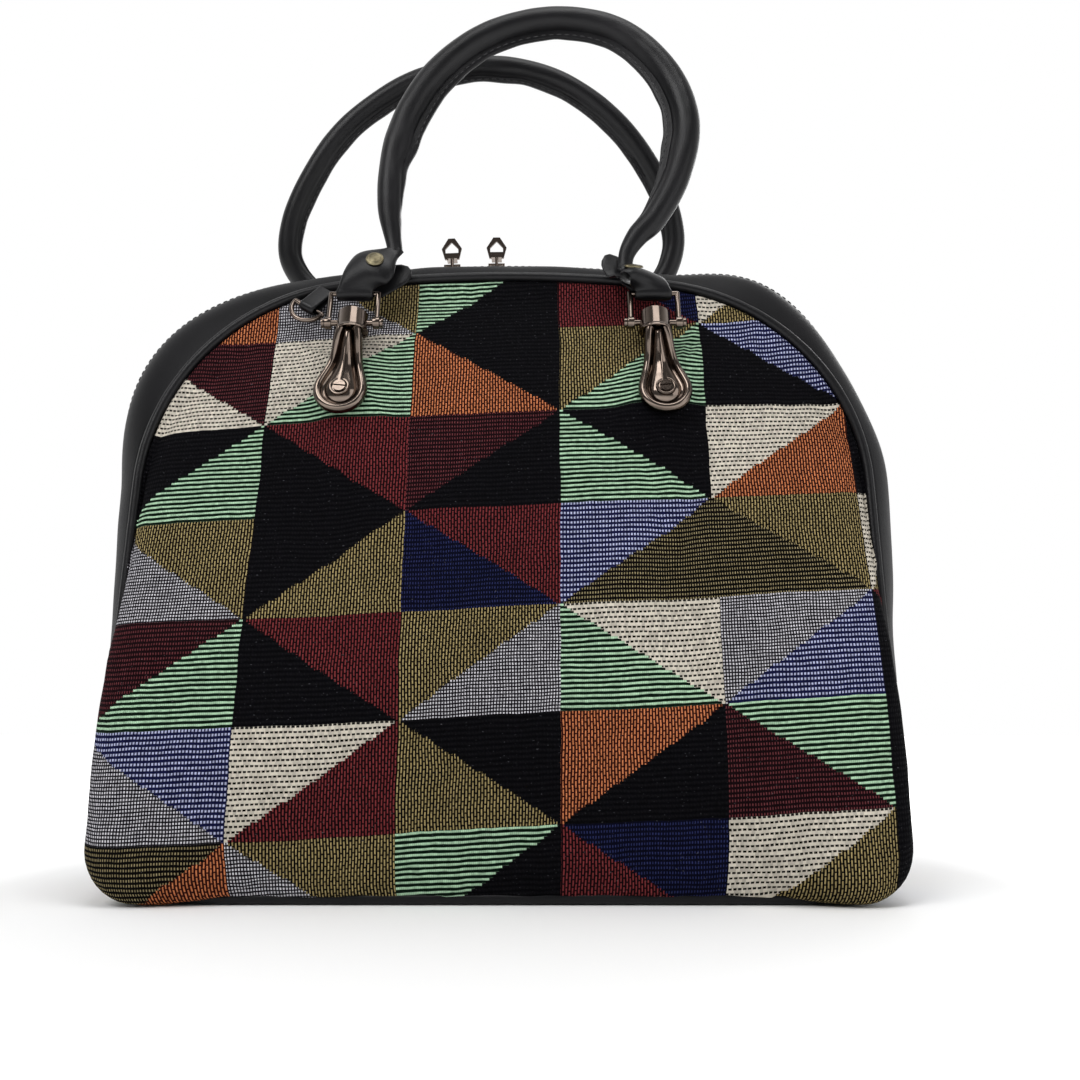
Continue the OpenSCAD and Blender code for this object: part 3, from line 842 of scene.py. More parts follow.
@dataclass
class BagForm:
    """The bag's shape: its seam outline seen from the front, its depth, and how far it swells."""

    half_w: float
    height: float
    base_depth: float = 150 * MM
    top_depth: float = 66 * MM
    corner_r: float = 30 * MM
    shoulder_r: float = 110 * MM
    top_r: float = 700 * MM
    crown_side: float = 15 * MM
    crown_top: float = 11 * MM
    crown_left: float = 15 * MM
    crown_right: float = 11 * MM
    left_peak: float = 0.8
    right_peak: float = 2.0
    crown_rise: float = 60 * MM
    crown_low: float = 0.6
    crown_heights: tuple[float, float] = (90 * MM, 185 * MM)
    spread: float = 0.005
    spread_heights: tuple[float, float] = (20 * MM, 150 * MM)
    zip_end: float = 96 * MM
    piping_r: float = 2.6 * MM
    gap: float = 0.2 * MM

    def __post_init__(self) -> None:
        """Works out where the shoulders' arcs meet the top's."""
        self.top_z = self.height - self.top_r
        self.corner_x = self.half_w - self.corner_r
        self.shoulder_x = self.half_w - self.shoulder_r
        drop = self.top_r - self.shoulder_r
        self.top_turn = math.asin(self.shoulder_x / drop)
        self.shoulder_z = self.top_z + drop * math.cos(self.top_turn)

    @classmethod
    def measured(cls, clear: float = 0.3 * MM) -> "BagForm":
        """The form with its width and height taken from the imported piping."""
        low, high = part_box("front_piping")
        return cls(half_w=(high.x - low.x) / 2 + clear, height=high.z + clear)

    def half_depth(self, z: float) -> float:
        """Half the depth between the two seams at a height."""
        return (self.base_depth + (self.top_depth - self.base_depth) * z / self.height) / 2

    def strip_edge(self, z: float) -> float:
        """Depth at which the strip meets the piping."""
        return self.half_depth(z) - self.piping_r - self.gap

    @staticmethod
    def _arc(x: float, z: float, radius: float, turns: Pair, count: int) -> list[Stop]:
        """Stops on an arc about (x, z), without its end."""
        angles = (turns[0] + (turns[1] - turns[0]) * k / count for k in range(count))
        return [Stop(x + radius * math.cos(a), z + radius * math.sin(a), a) for a in angles]

    @staticmethod
    def _line(start: Pair, end: Pair, turn: float, count: int) -> list[Stop]:
        """Stops on a straight stretch, without its end."""
        return [Stop(*between(start, end, k / count), turn) for k in range(count)]

    def spread_at(self, z: float) -> float:
        """How much wider the filled bag stands at a height, low down where it sags."""
        return 1 + self.spread * (1 - eased(z, *self.spread_heights))

    def _spread_out(self, stops: Sequence[Stop]) -> list[Stop]:
        """The stops as the bag spreads, with their distance along the row filled in.

        Args:
            stops: The stops before.

        Returns:
            The stops.
        """
        run, filled = 0.0, []
        for before, stop in zip([stops[0], *stops], stops):
            run += math.hypot(stop.x - before.x, stop.z - before.z)
            filled.append(Stop(stop.x * self.spread_at(stop.z), stop.z, stop.turn, run))
        return filled

    def _corner(self, inset: float, step: float) -> list[Stop]:
        """The lower right corner, without its end."""
        count, radius = round(self.corner_r * QUARTER / step), self.corner_r - inset
        return self._arc(self.corner_x, self.corner_r, radius, (-QUARTER, 0), count)

    def _dome_half(self, inset: float, step: float) -> list[Stop]:
        """Right shoulder and top, up to the middle but without it.

        Args:
            inset: Distance inside the outline.
            step: About how far apart the stops are.

        Returns:
            The stops.
        """
        bend = QUARTER - self.top_turn
        count, radius = round(self.shoulder_r * bend / step), self.shoulder_r - inset
        shoulder = self._arc(self.shoulder_x, self.shoulder_z, radius, (0, bend), count)
        count, radius = round(self.top_r * self.top_turn / step), self.top_r - inset
        return [*shoulder, *self._arc(0, self.top_z, radius, (bend, QUARTER), count)]

    def outline(self, inset: float, step: float) -> list[Stop]:
        """The whole seam outline from the middle of the bottom, counterclockwise from the front.

        Args:
            inset: Distance inside the outline.
            step: About how far apart the stops are.

        Returns:
            The stops; the last one lies just before the first.
        """
        side_x, rise = self.half_w - inset, self.shoulder_z - self.corner_r
        low, high = (side_x, self.corner_r), (side_x, self.shoulder_z)
        middle, corner = (0, inset), (self.corner_x, inset)
        right = [
            *self._line(middle, corner, -QUARTER, round(self.corner_x / step)),
            *self._corner(inset, step),
            *self._line(low, high, 0, round(rise / step)),
            *self._dome_half(inset, step),
        ]
        left = [stop.mirrored() for stop in reversed(right[1:])]
        return self._spread_out([*right, Stop(0, self.height - inset, QUARTER), *left])

    def zip_path(self, step: float) -> list[Stop]:
        """The zip strip's path, from its right end over the top to its left end.

        Args:
            step: About how far apart the stops are.

        Returns:
            The stops.
        """
        low, high = (self.half_w, self.zip_end + self.gap), (self.half_w, self.shoulder_z)
        count = round((self.shoulder_z - self.zip_end) / step)
        right = [*self._line(low, high, 0, count), *self._dome_half(0, step)]
        left = [stop.mirrored() for stop in reversed(right)]
        return self._spread_out([*right, Stop(0, self.height, QUARTER), *left])

    def side_path(self, step: float) -> list[Stop]:
        """The right fabric side's path, from the base up to the zip.

        Args:
            step: About how far apart the stops are.

        Returns:
            The stops.
        """
        low, high = (self.half_w, self.corner_r), (self.half_w, self.zip_end - self.gap)
        straight = self._line(low, high, 0, round((high[1] - low[1]) / step))
        return self._spread_out([*self._corner(0, step), *straight, Stop(*high, 0)])

    def crown(self, stop: Stop, face: int = FRONT) -> float:
        """How far the strip's middle stands out of its seams, more so on the left shoulder.

        Args:
            stop: A place on the strip, seen from its own side of the bag.
            face: The side that it is seen from.

        Returns:
            The distance.
        """
        turn = math.pi - stop.turn if stop.turn > QUARTER else stop.turn
        fill = self.crown_low + (1 - self.crown_low) * eased(stop.z, *self.crown_heights)
        side = self.crown_side * min(1.0, stop.z / self.crown_rise) * fill
        if turn < 0:
            return side * (1 + turn / QUARTER)
        share = min(1.0, turn / (QUARTER - self.top_turn))
        on_right = stop.x * face > 0
        extra = self.crown_right if on_right else self.crown_left
        peak = self.right_peak if on_right else self.left_peak
        shoulder = extra * math.sin(math.pi * share**peak) ** 2
        return side * (1 - share) + self.crown_top * share + shoulder

    def on_strip(self, stop: Stop, y: float, above: float = 0.0, face: int = FRONT) -> Vector:
        """A point on the strip's outer face, or above it, seen from the front or the back."""
        swell = self.crown(stop, face) * (1 - (abs(y) / self.strip_edge(stop.z)) ** 4)
        return stop.at(y, swell + above)


class Bead(Enum):
    """The small shapes that are set in rows."""

    TOOTH = "tooth"
    STITCH = "stitch"


BeadLine = Sequence[tuple[Vector, Vector]]


@dataclass
class BeadRow:
    """Sets one small shape along lines at even steps, by Geometry Nodes."""

    bead: Bead
    pitch: float
    size: tuple[float, float, float]

    def _tree(self) -> bpy.types.NodeTree:
        """The node tree, with its line, pitch, size and finish as named inputs.

        Returns:
            The tree.
        """
        tree = bpy.data.node_groups.new(f"row of {self.bead.value}s", "GeometryNodeTree")
        kinds = {"Line": "Geometry", "Pitch": "Float", "Size": "Vector", "Finish": "Material"}
        for name, kind in kinds.items():
            tree.interface.new_socket(name, in_out="INPUT", socket_type=f"NodeSocket{kind}")
        tree.interface.new_socket("Row", in_out="OUTPUT", socket_type="NodeSocketGeometry")
        add = Graph(tree).node
        line, pitch, size, finish = (add("NodeGroupInput", {}, {}, name) for name in kinds)
        curve = add("GeometryNodeMeshToCurve", {}, {"Mesh": line})
        steps = {"Curve": curve, "Length": pitch}
        points = add("GeometryNodeResampleCurve", {"mode": "LENGTH"}, steps)
        if self.bead is Bead.TOOTH:
            shape = add("GeometryNodeMeshCube", {}, {})
        else:
            ball = {"Segments": 6, "Rings": 4, "Radius": 0.5}
            shape = add("GeometryNodeMeshUVSphere", {}, ball)
        up_kind = {"data_type": "FLOAT_VECTOR"}
        up = add("GeometryNodeInputNamedAttribute", up_kind, {"Name": "up"}, "Attribute")
        tangent = {"Vector": add("GeometryNodeInputTangent", {}, {})}
        along = add("FunctionNodeAlignRotationToVector", {"axis": "X"}, tangent)
        axes, turn = {"axis": "Z", "pivot_axis": "X"}, {"Rotation": along, "Vector": up}
        turn = add("FunctionNodeAlignRotationToVector", axes, turn)
        beads = {"Points": points, "Instance": shape, "Rotation": turn, "Scale": size}
        beads = add("GeometryNodeInstanceOnPoints", {}, beads)
        real = add("GeometryNodeRealizeInstances", {}, {0: beads})
        paint = add("GeometryNodeSetMaterial", {}, {"Geometry": real, "Material": finish})
        paint.graph.end("NodeGroupOutput", "Row", paint)
        return tree

    def along(
        self, name: str, lines: Sequence[BeadLine], material: Material
    ) -> bpy.types.Object:
        """Sets the shapes along lines.

        Args:
            name: The piece's name.
            lines: Each line's points, with the direction that is up there.
            material: The finish.

        Returns:
            One plain mesh object with every shape in it.
        """
        mesh = bpy.data.meshes.new(f"{name} lines")
        points, edges, ups = [], [], []
        for line in lines:
            first = len(points)
            points.extend(point for point, _ in line)
            ups.extend(up for _, up in line)
            edges.extend((first + k, first + k + 1) for k in range(len(line) - 1))
        mesh.from_pydata(points, edges, [])
        layer = mesh.attributes.new("up", "FLOAT_VECTOR", "POINT")
        layer.data.foreach_set("vector", [value for up in ups for value in up])
        guide = add_object(f"{name} guide", mesh)
        modifier = guide.modifiers.new("row", "NODES")
        modifier.node_group = self._tree()
        values = {"Pitch": self.pitch, "Size": self.size, "Finish": material}
        for item in modifier.node_group.interface.items_tree:
            if item.in_out == "INPUT" and item.name in values:
                modifier[item.identifier] = values[item.name]
        depsgraph = bpy.context.evaluated_depsgraph_get()
        plain = bpy.data.meshes.new_from_object(guide.evaluated_get(depsgraph))
        plain.name = name
        bpy.data.objects.remove(guide)
        is_round = self.bead is Bead.STITCH
        plain.polygons.foreach_set("use_smooth", [is_round] * len(plain.polygons))
        LOG.info("%s made", name)
        return add_object(name, plain)


# How the cloth of the panels behaves while it settles.
CLOTH: dict[str, Any] = {
    "vertex_group_mass": "held",
    "quality": 6,
    "mass": 0.25,
    "tension_stiffness": 30,
    "compression_stiffness": 20,
    "shear_stiffness": 10,
    "bending_stiffness": 1.5,
    "use_pressure": True,
    "uniform_pressure_force": 2.0,
    "shrink_min": -0.012,
}


@dataclass
class WovenPanel:
    """A front or back panel: cloth held at the seam and under the drops, swelling from inside.

    Low down and at the sides its edge rolls over the seam. From there it is simulated as cloth.
    """

    form: BagForm
    word: str
    face: int
    holds: Sequence[tuple[float, float, float]]
    bulge: float = 20 * MM
    inset: float = 5.7 * MM
    edge_step: float = 4.5 * MM
    thickness: float = 2.4 * MM
    mid_z: float = 153 * MM
    half_span: float = 170 * MM
    sag: float = 5 * MM
    sag_z: float = 95 * MM
    sag_reach: float = 75 * MM
    sag_depth: float = 10 * MM
    roll: float = 25 * MM
    roll_depth: float = 11.2 * MM
    roll_puff: float = 2 * MM
    roll_turn: float = math.radians(103)
    low_turn: float = math.radians(27)
    turn_heights: Pair = (80 * MM, 190 * MM)
    roll_heights: Pair = (170 * MM, 270 * MM)
    roll_sides: Pair = (110 * MM, 160 * MM)
    roll_base: Pair = (5 * MM, 30 * MM)
    least_roll: float = 0.35
    cloth_corner: Pair = (-187 * MM, 311.7 * MM)
    askew: float = 0.0494
    pucker: float = 0.7 * MM
    pucker_pitch: float = 13 * MM
    pucker_share: float = 0.86
    pucker_width: float = 0.1
    most_give: float = 4 * MM
    face_rings: int = 20
    roll_rings: int = 18
    frames: int = 22

    def __post_init__(self) -> None:
        """Walks the edge."""
        self.edge = self.form.outline(self.inset, self.edge_step)
        self.name = f"{self.word}_cloth"

    def _roll_share(self, stop: Stop) -> float:
        """How much of the roll the edge has here, from 0 to 1.

        Args:
            stop: A place on the edge.

        Returns:
            The share.
        """
        low = max(eased(abs(stop.x), *self.roll_sides), eased(stop.z, *self.roll_base))
        share = self.least_roll + (1 - self.least_roll) * low
        return share * (1 - eased(stop.z, *self.roll_heights))

    def _ray(self, stop: Stop) -> list[Pair]:
        """The panel's section from its middle to one place on its edge.

        Args:
            stop: The place on the edge.

        Returns:
            Points as (distance from the middle, depth of the swelling).
        """
        reach, full = math.hypot(stop.x, stop.z - self.mid_z), self._roll_share(stop)
        roll_turn = self.roll_turn + self.low_turn * (1 - eased(stop.z, *self.turn_heights))
        flat_end = 1 - self.roll * math.sin(roll_turn) / reach
        top = self.roll_depth * (1 - math.cos(roll_turn))
        ray = []
        for k in range(1, self.face_rings + 1):
            part = k / self.face_rings
            plain = self.bulge * (1 - (flat_end * part) ** 3)
            puffed = top + self.roll_puff * (1 - part**2)
            depth = plain + (puffed - plain) * full * eased(part, 0.2, 1.0)
            ray.append((flat_end * part * reach, depth))
        for k in range(1, self.roll_rings + 1):
            part = k / self.roll_rings
            share = flat_end + (1 - flat_end) * part
            plain = (share * reach, self.bulge * (1 - share**3))
            over = flat_end * reach + self.roll * math.sin(roll_turn * part)
            under = self.roll_depth * (math.cos(roll_turn * part) - math.cos(roll_turn))
            ray.append(between(plain, (over, under), full))
        return ray

    def _on_face(self, x: float, z: float, depth: float) -> Vector:
        """A point of the face that swells to a depth, with the sag low down."""
        low = self.sag * hump(z, self.sag_z, self.sag_reach) * min(1.0, depth / self.sag_depth)
        return Vector((x, -self.form.half_depth(z) - depth - low, z))

    def _on_cloth(self, x: float, z: float) -> Pair:
        """The cloth's own measure right and down, a little askew as the panel was cut."""
        right = x - self.cloth_corner[0]
        return right, self.cloth_corner[1] + self.askew * right - z

    def _rest(self) -> tuple[list[list[Vector]], list[list[Pair]]]:
        """The outer face before it settles.

        Returns:
            Its rings from the middle outward, and their places on the flat cloth.
        """
        rings: list[list[Vector]] = [[] for _ in range(self.face_rings + self.roll_rings)]
        flats: list[list[Pair]] = [[] for _ in rings]
        for stop in self.edge:
            way = Vector((stop.x, stop.z - self.mid_z)).normalized()
            length, last = 0.0, (0.0, self.bulge)
            for ring, flat, spot in zip(rings, flats, self._ray(stop)):
                length += math.dist(spot, last)
                last = spot
                ring.append(self._on_face(way.x * spot[0], self.mid_z + way.y * spot[0], spot[1]))
                flat.append(self._on_cloth(way.x * length, self.mid_z + way.y * length))
        return rings, flats

    def _is_held(self, point: Vector) -> bool:
        """Whether metal clamps the cloth here."""
        return any(math.hypot(point.x - x, point.z - z) < reach for x, z, reach in self.holds)

    def _sheet(self, points: Sequence[Vector], count: int) -> bpy.types.Object:
        """The cloth as it is simulated.

        Args:
            points: The face's points, ring by ring and then the middle.
            count: Points in a ring.

        Returns:
            The sheet, held at its last two rings and under the metal.
        """
        last = len(points) - 1
        pairs = [(k, (k + 1) % count) for k in range(count)]
        faces = [
            (ring + k, ring + count + k, ring + count + after, ring + after)
            for ring in range(0, last - count, count)
            for k, after in pairs
        ]
        faces += [(last, k, after) for k, after in pairs]
        mesh = bpy.data.meshes.new("settling cloth")
        mesh.from_pydata(points, [], faces)
        sheet = add_object("settling cloth", mesh)
        rim = last - 2 * count
        held = [k for k, p in enumerate(points[:-1]) if k >= rim or self._is_held(p)]
        sheet.vertex_groups.new(name="held").add(held, 1.0, "REPLACE")
        cloth = sheet.modifiers.new("cloth", "CLOTH")
        for key, value in CLOTH.items():
            setattr(cloth.settings, key, value)
        cloth.point_cache.frame_start = 1
        cloth.point_cache.frame_end = self.frames
        return sheet

    def _settled(self, rings: Sequence[Sequence[Vector]]) -> list[Vector]:
        """The face's points, ring by ring and then the middle, once the cloth has settled.

        Args:
            rings: The face before, from the middle outward.

        Returns:
            The moved points, none further than the cloth may give.
        """
        middle = self._on_face(0.0, self.mid_z, self.bulge)
        points = [point for ring in rings for point in ring] + [middle]
        sheet = self._sheet(points, len(rings[0]))
        for frame in range(1, self.frames + 1):
            bpy.context.scene.frame_set(frame)
        depsgraph = bpy.context.evaluated_depsgraph_get()
        ends = [v.co.copy() for v in sheet.evaluated_get(depsgraph).data.vertices]
        bpy.context.scene.frame_set(1)
        bpy.data.objects.remove(sheet)
        gives = [end - start for start, end in zip(points, ends)]
        most = max(give.length for give in gives) / MM
        LOG.info("%s settled by up to %.1f mm", self.name, most)
        return [start + self._capped(give) for start, give in zip(points, gives)]

    def _capped(self, give: Vector) -> Vector:
        """A movement no longer than the cloth may give."""
        return give * min(1.0, self.most_give / max(give.length, 1e-9))

    def _gather(self, stop: Stop, share: float) -> Vector:
        """A small gather that the seam pulls in, at a share of the way to the edge.

        Args:
            stop: A place on the edge.
            share: How far out from the middle, from 0 to 1.

        Returns:
            The gather, as a movement inwards.
        """
        wave = noise.noise(Vector((stop.run / self.pucker_pitch, self.face * 7.0, 0.0)))
        fade = hump(share, self.pucker_share, self.pucker_width)
        return Vector((0.0, self.pucker * fade * wave, 0.0))

    def build(self, finishes: Finishes) -> bpy.types.Object:
        """Makes the panel.

        Args:
            finishes: The bag's materials.

        Returns:
            The panel, riding on the bag.
        """
        rings, flats = self._rest()
        points = self._settled(rings)
        count, last, skin = len(self.edge), len(flats) - 1, Skin()
        fronts, backs = [], []
        inward = Vector((0.0, self.thickness, 0.0))
        for number, flat in enumerate(flats):
            ring = zip(points[number * count :], self.edge)
            outer = [point - self._gather(stop, number / last) for point, stop in ring]
            tuck = self.thickness / 2 / self.half_span * eased(number, self.face_rings, last)
            middle = Vector((0.0, 0.0, self.mid_z))
            scale = Vector((1 - tuck, 1.0, 1 - tuck))
            inner = [middle + (p - middle) * scale + inward for p in outer]
            fronts.append(skin.row(turned_back(outer, self.face), flat))
            backs.append(skin.row(turned_back(inner, self.face), flat))
        skin.web([*fronts, *reversed(backs)], True)
        centre = self._on_cloth(0.0, self.mid_z)
        for ring, tip in ((fronts[0], points[-1]), (backs[0], points[-1] + inward)):
            skin.fan(ring, turned_back([tip], self.face)[0], centre)
        made = skin.piece(self.name, finishes.cloth, 60)
        node = f"{self.word}_panel"
        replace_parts(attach(made, "bag"), node)
        return made


@dataclass
class Sides:
    """The two fabric lower sides, with the patchwork running across them."""

    form: BagForm
    thickness: float = 1.8 * MM
    step: float = 3 * MM
    columns: int = 36
    ripple: float = 0.6 * MM
    ripples: float = 40.0
    fade_in: float = 6 * MM
    cloth_corner: Pair = (90 * MM, 300 * MM)

    def _lift(self, stop: Stop, y: float, face: int) -> float:
        """The cloth's slight waviness between its seams.

        Args:
            stop: A place along the side.
            y: Depth, before it is turned about.
            face: FRONT for the right side and BACK for the left one.

        Returns:
            The height over the side.
        """
        wave = noise.noise(Vector((y * self.ripples, stop.run * self.ripples, face * 3.0)))
        fade = (1 - (y / self.form.strip_edge(stop.z)) ** 2) * min(1.0, stop.run / self.fade_in)
        return self.ripple * wave * fade

    def _strip(self, face: int) -> Skin:
        """One side; the left one is the right one turned about.

        Args:
            face: FRONT for the right side and BACK for the left one.

        Returns:
            The side.
        """
        outer, inner, flat = [], [], []
        right, down = self.cloth_corner
        for stop in self.form.side_path(self.step):
            edge = self.form.strip_edge(stop.z)
            depths = [edge * (2 * k / self.columns - 1) for k in range(self.columns + 1)]
            tops = [self.form.on_strip(stop, y, self._lift(stop, y, face)) for y in depths]
            unders = [self.form.on_strip(stop, y, -self.thickness) for y in depths]
            outer.append(turned_back(tops, face))
            inner.append(turned_back(unders, face))
            flat.append([(y + right, down - stop.run) for y in depths])
        skin = Skin()
        skin.slab(outer, inner, flat)
        return skin

    def build(self, finishes: Finishes) -> None:
        """Makes both sides in the woven cloth.

        Args:
            finishes: The bag's materials.
        """
        for word, face in (("right", FRONT), ("left", BACK)):
            made = self._strip(face).piece(f"{word}_cloth", finishes.cloth, 50)
            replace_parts(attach(made, "bag"), f"{word}_side")


@dataclass
class Piping:
    """The corded piping in the seam round each panel, with the slight lumps of a sewn cord."""

    form: BagForm
    clear: float = 0.3 * MM
    step: float = 2.5 * MM
    lump: float = 0.09
    lumps: float = 160.0
    sides: int = 12

    def _ring(self, stop: Stop, face: int) -> list[Vector]:
        """The cord's section at one place.

        Args:
            stop: The place on the seam.
            face: The front's cord or the back's.

        Returns:
            The section's points.
        """
        middle = stop.at(-self.form.half_depth(stop.z))
        wave = noise.noise(Vector((stop.run * self.lumps, face * 5.0, 0.0)))
        radius = self.form.piping_r * (1 - self.lump * (0.5 + 0.5 * wave))
        angles = (math.tau * k / self.sides for k in range(self.sides))
        back = Vector((0.0, 1.0, 0.0))
        ring = [middle + (stop.out() * math.cos(a) + back * math.sin(a)) * radius for a in angles]
        return turned_back(ring, face)

    def build(self, finishes: Finishes) -> None:
        """Makes both rounds of piping.

        Args:
            finishes: The bag's materials.
        """
        path = self.form.outline(self.form.piping_r + self.clear, self.step)
        for word, face in FACES:
            skin = Skin()
            skin.tube([self._ring(stop, face) for stop in path], closed=True)
            made = skin.piece(f"{word}_cord", finishes.leatherette)
            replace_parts(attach(made, "bag"), f"{word}_piping")


@dataclass
class ZipStrip:
    """The strip over the dome: leatherette facings, zip tapes and a row of moulded teeth."""

    form: BagForm
    tape_w: float = 14 * MM
    tape_low: float = 0.4 * MM
    thickness: float = 1.8 * MM
    fold: float = 0.5 * MM
    fold_w: float = 1.6 * MM
    ripple: float = 1.1 * MM
    ripples: Pair = (32.0, 30.0)
    chain_w: float = 6 * MM
    chain_h: float = 2 * MM
    tooth_pitch: float = 4 * MM
    tooth_off: float = 0.17
    tooth_lift: float = 0.25
    tooth_share: Pair = (0.44, 0.66)
    stitch_size: tuple[float, float, float] = (2.7 * MM, 0.75 * MM, 0.7 * MM)
    stitch_pitch: float = 3.6 * MM
    stitch_in: float = 3.2 * MM
    stitch_up: float = 0.15 * MM
    facing_columns: int = 16
    tape_columns: int = 6
    step: float = 2 * MM

    def __post_init__(self) -> None:
        """Walks the strip."""
        self.path = self.form.zip_path(self.step)

    def _facing_lift(self, stop: Stop, y: float, face: int) -> float:
        """How far a facing stands out, with its folded edge and slight waviness.

        Args:
            stop: A place along the strip.
            y: Depth, before it is turned to the back.
            face: The front's facing or the back's.

        Returns:
            The height over the strip.
        """
        near, far = self.tape_w + self.form.gap, self.form.strip_edge(stop.z)
        fold = self.fold * hump(abs(y), near, self.fold_w)
        share = min(1.0, max(0.0, (abs(y) - self.tape_w) / (far - self.tape_w)))
        along, across = self.ripples
        wave = noise.noise(Vector((stop.run * along, face * 9.0, y * across)))
        return fold + self.ripple * wave * max(0.0, math.sin(math.pi * share))

    def _band(self, face: int, is_facing: bool) -> Skin:
        """Skins one band of the strip on one side of the zip.

        Args:
            face: The front's band or the back's.
            is_facing: Whether it is the facing rather than the tape.

        Returns:
            The band.
        """
        outer, inner, flat = [], [], []
        near = self.tape_w + self.form.gap if is_facing else self.form.gap / 2
        columns = self.facing_columns if is_facing else self.tape_columns
        for stop in self.path:
            far = self.form.strip_edge(stop.z) if is_facing else self.tape_w
            depths = [-(far + (near - far) * k / columns) for k in range(columns + 1)]
            lifts = [-self.tape_low] * len(depths)
            if is_facing:
                lifts = [self._facing_lift(stop, y, face) for y in depths]
            tops = [self.form.on_strip(stop, y, up, face) for y, up in zip(depths, lifts)]
            unders = [self.form.on_strip(stop, y, -self.thickness, face) for y in depths]
            outer.append(turned_back(tops, face))
            inner.append(turned_back(unders, face))
            flat.append([(stop.run, y) for y in depths])
        skin = Skin()
        skin.slab(outer, inner, flat)
        return skin

    def _line(self, y: float, above: float, start: int) -> BeadLine:
        """A line of points on the strip with the direction that is up."""
        return [(self.form.on_strip(stop, y, above), stop.out()) for stop in self.path[start:]]

    def build(self, finishes: Finishes) -> None:
        """Makes the facings, tapes, teeth and the topstitching.

        Args:
            finishes: The bag's materials.
        """
        for word, face in FACES:
            made = self._band(face, True).piece(f"{word}_facing", finishes.facing, 55)
            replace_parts(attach(made, "bag"), f"{word}_zip_facing")
            made = self._band(face, False).piece(f"{word}_tape", finishes.tape, 55)
            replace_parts(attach(made, "bag"), f"{word}_zip_tape")
        off, lift = self.chain_w * self.tooth_off, self.chain_h * self.tooth_lift
        rows = [self._line(-off, lift, 0), self._line(off, lift, 1)]
        along, across = self.tooth_share
        size = (self.tooth_pitch * along, self.chain_w * across, self.chain_h)
        row = BeadRow(Bead.TOOTH, self.tooth_pitch, size)
        teeth = row.along("zip_chain", rows, finishes.teeth)
        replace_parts(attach(teeth, "bag"), "zip_teeth")
        seam = self.tape_w + self.stitch_in
        rows = [self._line(side * seam, self.stitch_up, 1) for _, side in SIDES]
        row = BeadRow(Bead.STITCH, self.stitch_pitch, self.stitch_size)
        stitches = row.along("facing_stitches", rows, finishes.thread)
        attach(stitches, "bag")


@dataclass
class Base:
    """The flat leatherette base and the board that stiffens it."""

    form: BagForm
    thickness: float = 1.8 * MM
    cells: tuple[int, int] = (60, 24)

    def build(self, nodes: dict[str, bpy.types.Object], finishes: Finishes) -> None:
        """Makes the base sheet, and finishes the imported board.

        Args:
            nodes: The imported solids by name.
            finishes: The bag's materials.
        """
        half_l = self.form.corner_x * self.form.spread_at(0.0) - self.form.gap
        half_d = self.form.strip_edge(0.0)
        spans = zip((half_l, half_d), self.cells)
        xs, ys = ([half * (2 * k / n - 1) for k in range(n + 1)] for half, n in spans)
        grid = [[Vector((x, y, 0.0)) for y in ys] for x in xs]
        raised = [[p + Vector((0, 0, self.thickness)) for p in row] for row in grid]
        skin = Skin()
        skin.slab(grid, raised, [[(p.x, p.y) for p in row] for row in grid])
        made = skin.piece("base_sheet", finishes.leatherette)
        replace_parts(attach(made, "bag"), "base_panel")
        dress_node(nodes["base_board"], finishes.board)


def dress_node(node: bpy.types.Object, material: Material, bevel: float = 0.0) -> None:
    """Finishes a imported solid: one material, joined faces and slightly rounded edges.

    Args:
        node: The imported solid.
        material: Its finish.
        bevel: Width of the rounding; none at 0.
    """
    node.data.materials.clear()
    node.data.materials.append(material)
    weld = node.modifiers.new("weld", "WELD")
    weld.merge_threshold = 0.002 * MM
    if bevel > 0:
        rounding = node.modifiers.new("rounding", "BEVEL")
        rounding.width = bevel
        rounding.segments = 2
        rounding.limit_method = "ANGLE"
        rounding.angle_limit = math.radians(35)
        rounding.use_clamp_overlap = True
    LOG.info("%s finished", node.name)


StrapPlace = tuple[float, float, float]


def strap_rings(
    path: Sequence[StrapPlace], thickness: float, place: Placing, columns: int = 10
) -> list[list[Vector]]:
    """Sections of a flat strap with rounded edges along a folded path.

    Args:
        path: Places as (distance up, distance out, strap width), the outer face first.
        thickness: The strap's thickness.
        place: Gives the point for a distance across the strap, out and up.
        columns: Faces across the strap.

    Returns:
        The sections.
    """
    across = [math.sin(QUARTER * (2 * k / columns - 1)) for k in range(columns + 1)]
    shares = [(w, 0.5) for w in across] + [(w, -0.5) for w in reversed(across)]
    rings = []
    for k, (up, out, width) in enumerate(path):
        before, after = path[max(k - 1, 0)], path[min(k + 1, len(path) - 1)]
        way = Vector((after[0] - before[0], after[1] - before[1])).normalized()
        ring = []
        for w, half in shares:
            thick = half * thickness * math.sqrt(max(0.02, 1 - abs(w) ** 6))
            ring.append(place(w * width / 2, out - thick * way.x, up + thick * way.y))
        rings.append(ring)
    return rings


def bent_round(radius: float, width: float, count: int = 12) -> list[StrapPlace]:
    """The places of a strap that goes half round a bar, from the front to the back."""
    turns = (math.pi * k / count for k in range(1, count))
    return [(-radius * math.sin(a), radius * math.cos(a), width) for a in turns]


@dataclass
class HandlePlane:
    """The leaning plane that a handle stands in, through its two cross bars."""

    bars: Vector
    lean: float
    face: int

    def at(self, x: float, out: float, rise: float) -> Vector:
        """A point in the bag's frame.

        Args:
            x: Distance right of the middle, seen from this handle's side.
            out: Distance in front of the plane.
            rise: Height above the cross bars, along the plane.

        Returns:
            The point.
        """
        cos, sin = math.cos(self.lean), math.sin(self.lean)
        y, z = rise * sin - out * cos, out * sin + rise * cos
        return turned_back([Vector((x, self.bars.y + y, self.bars.z + z))], self.face)[0]


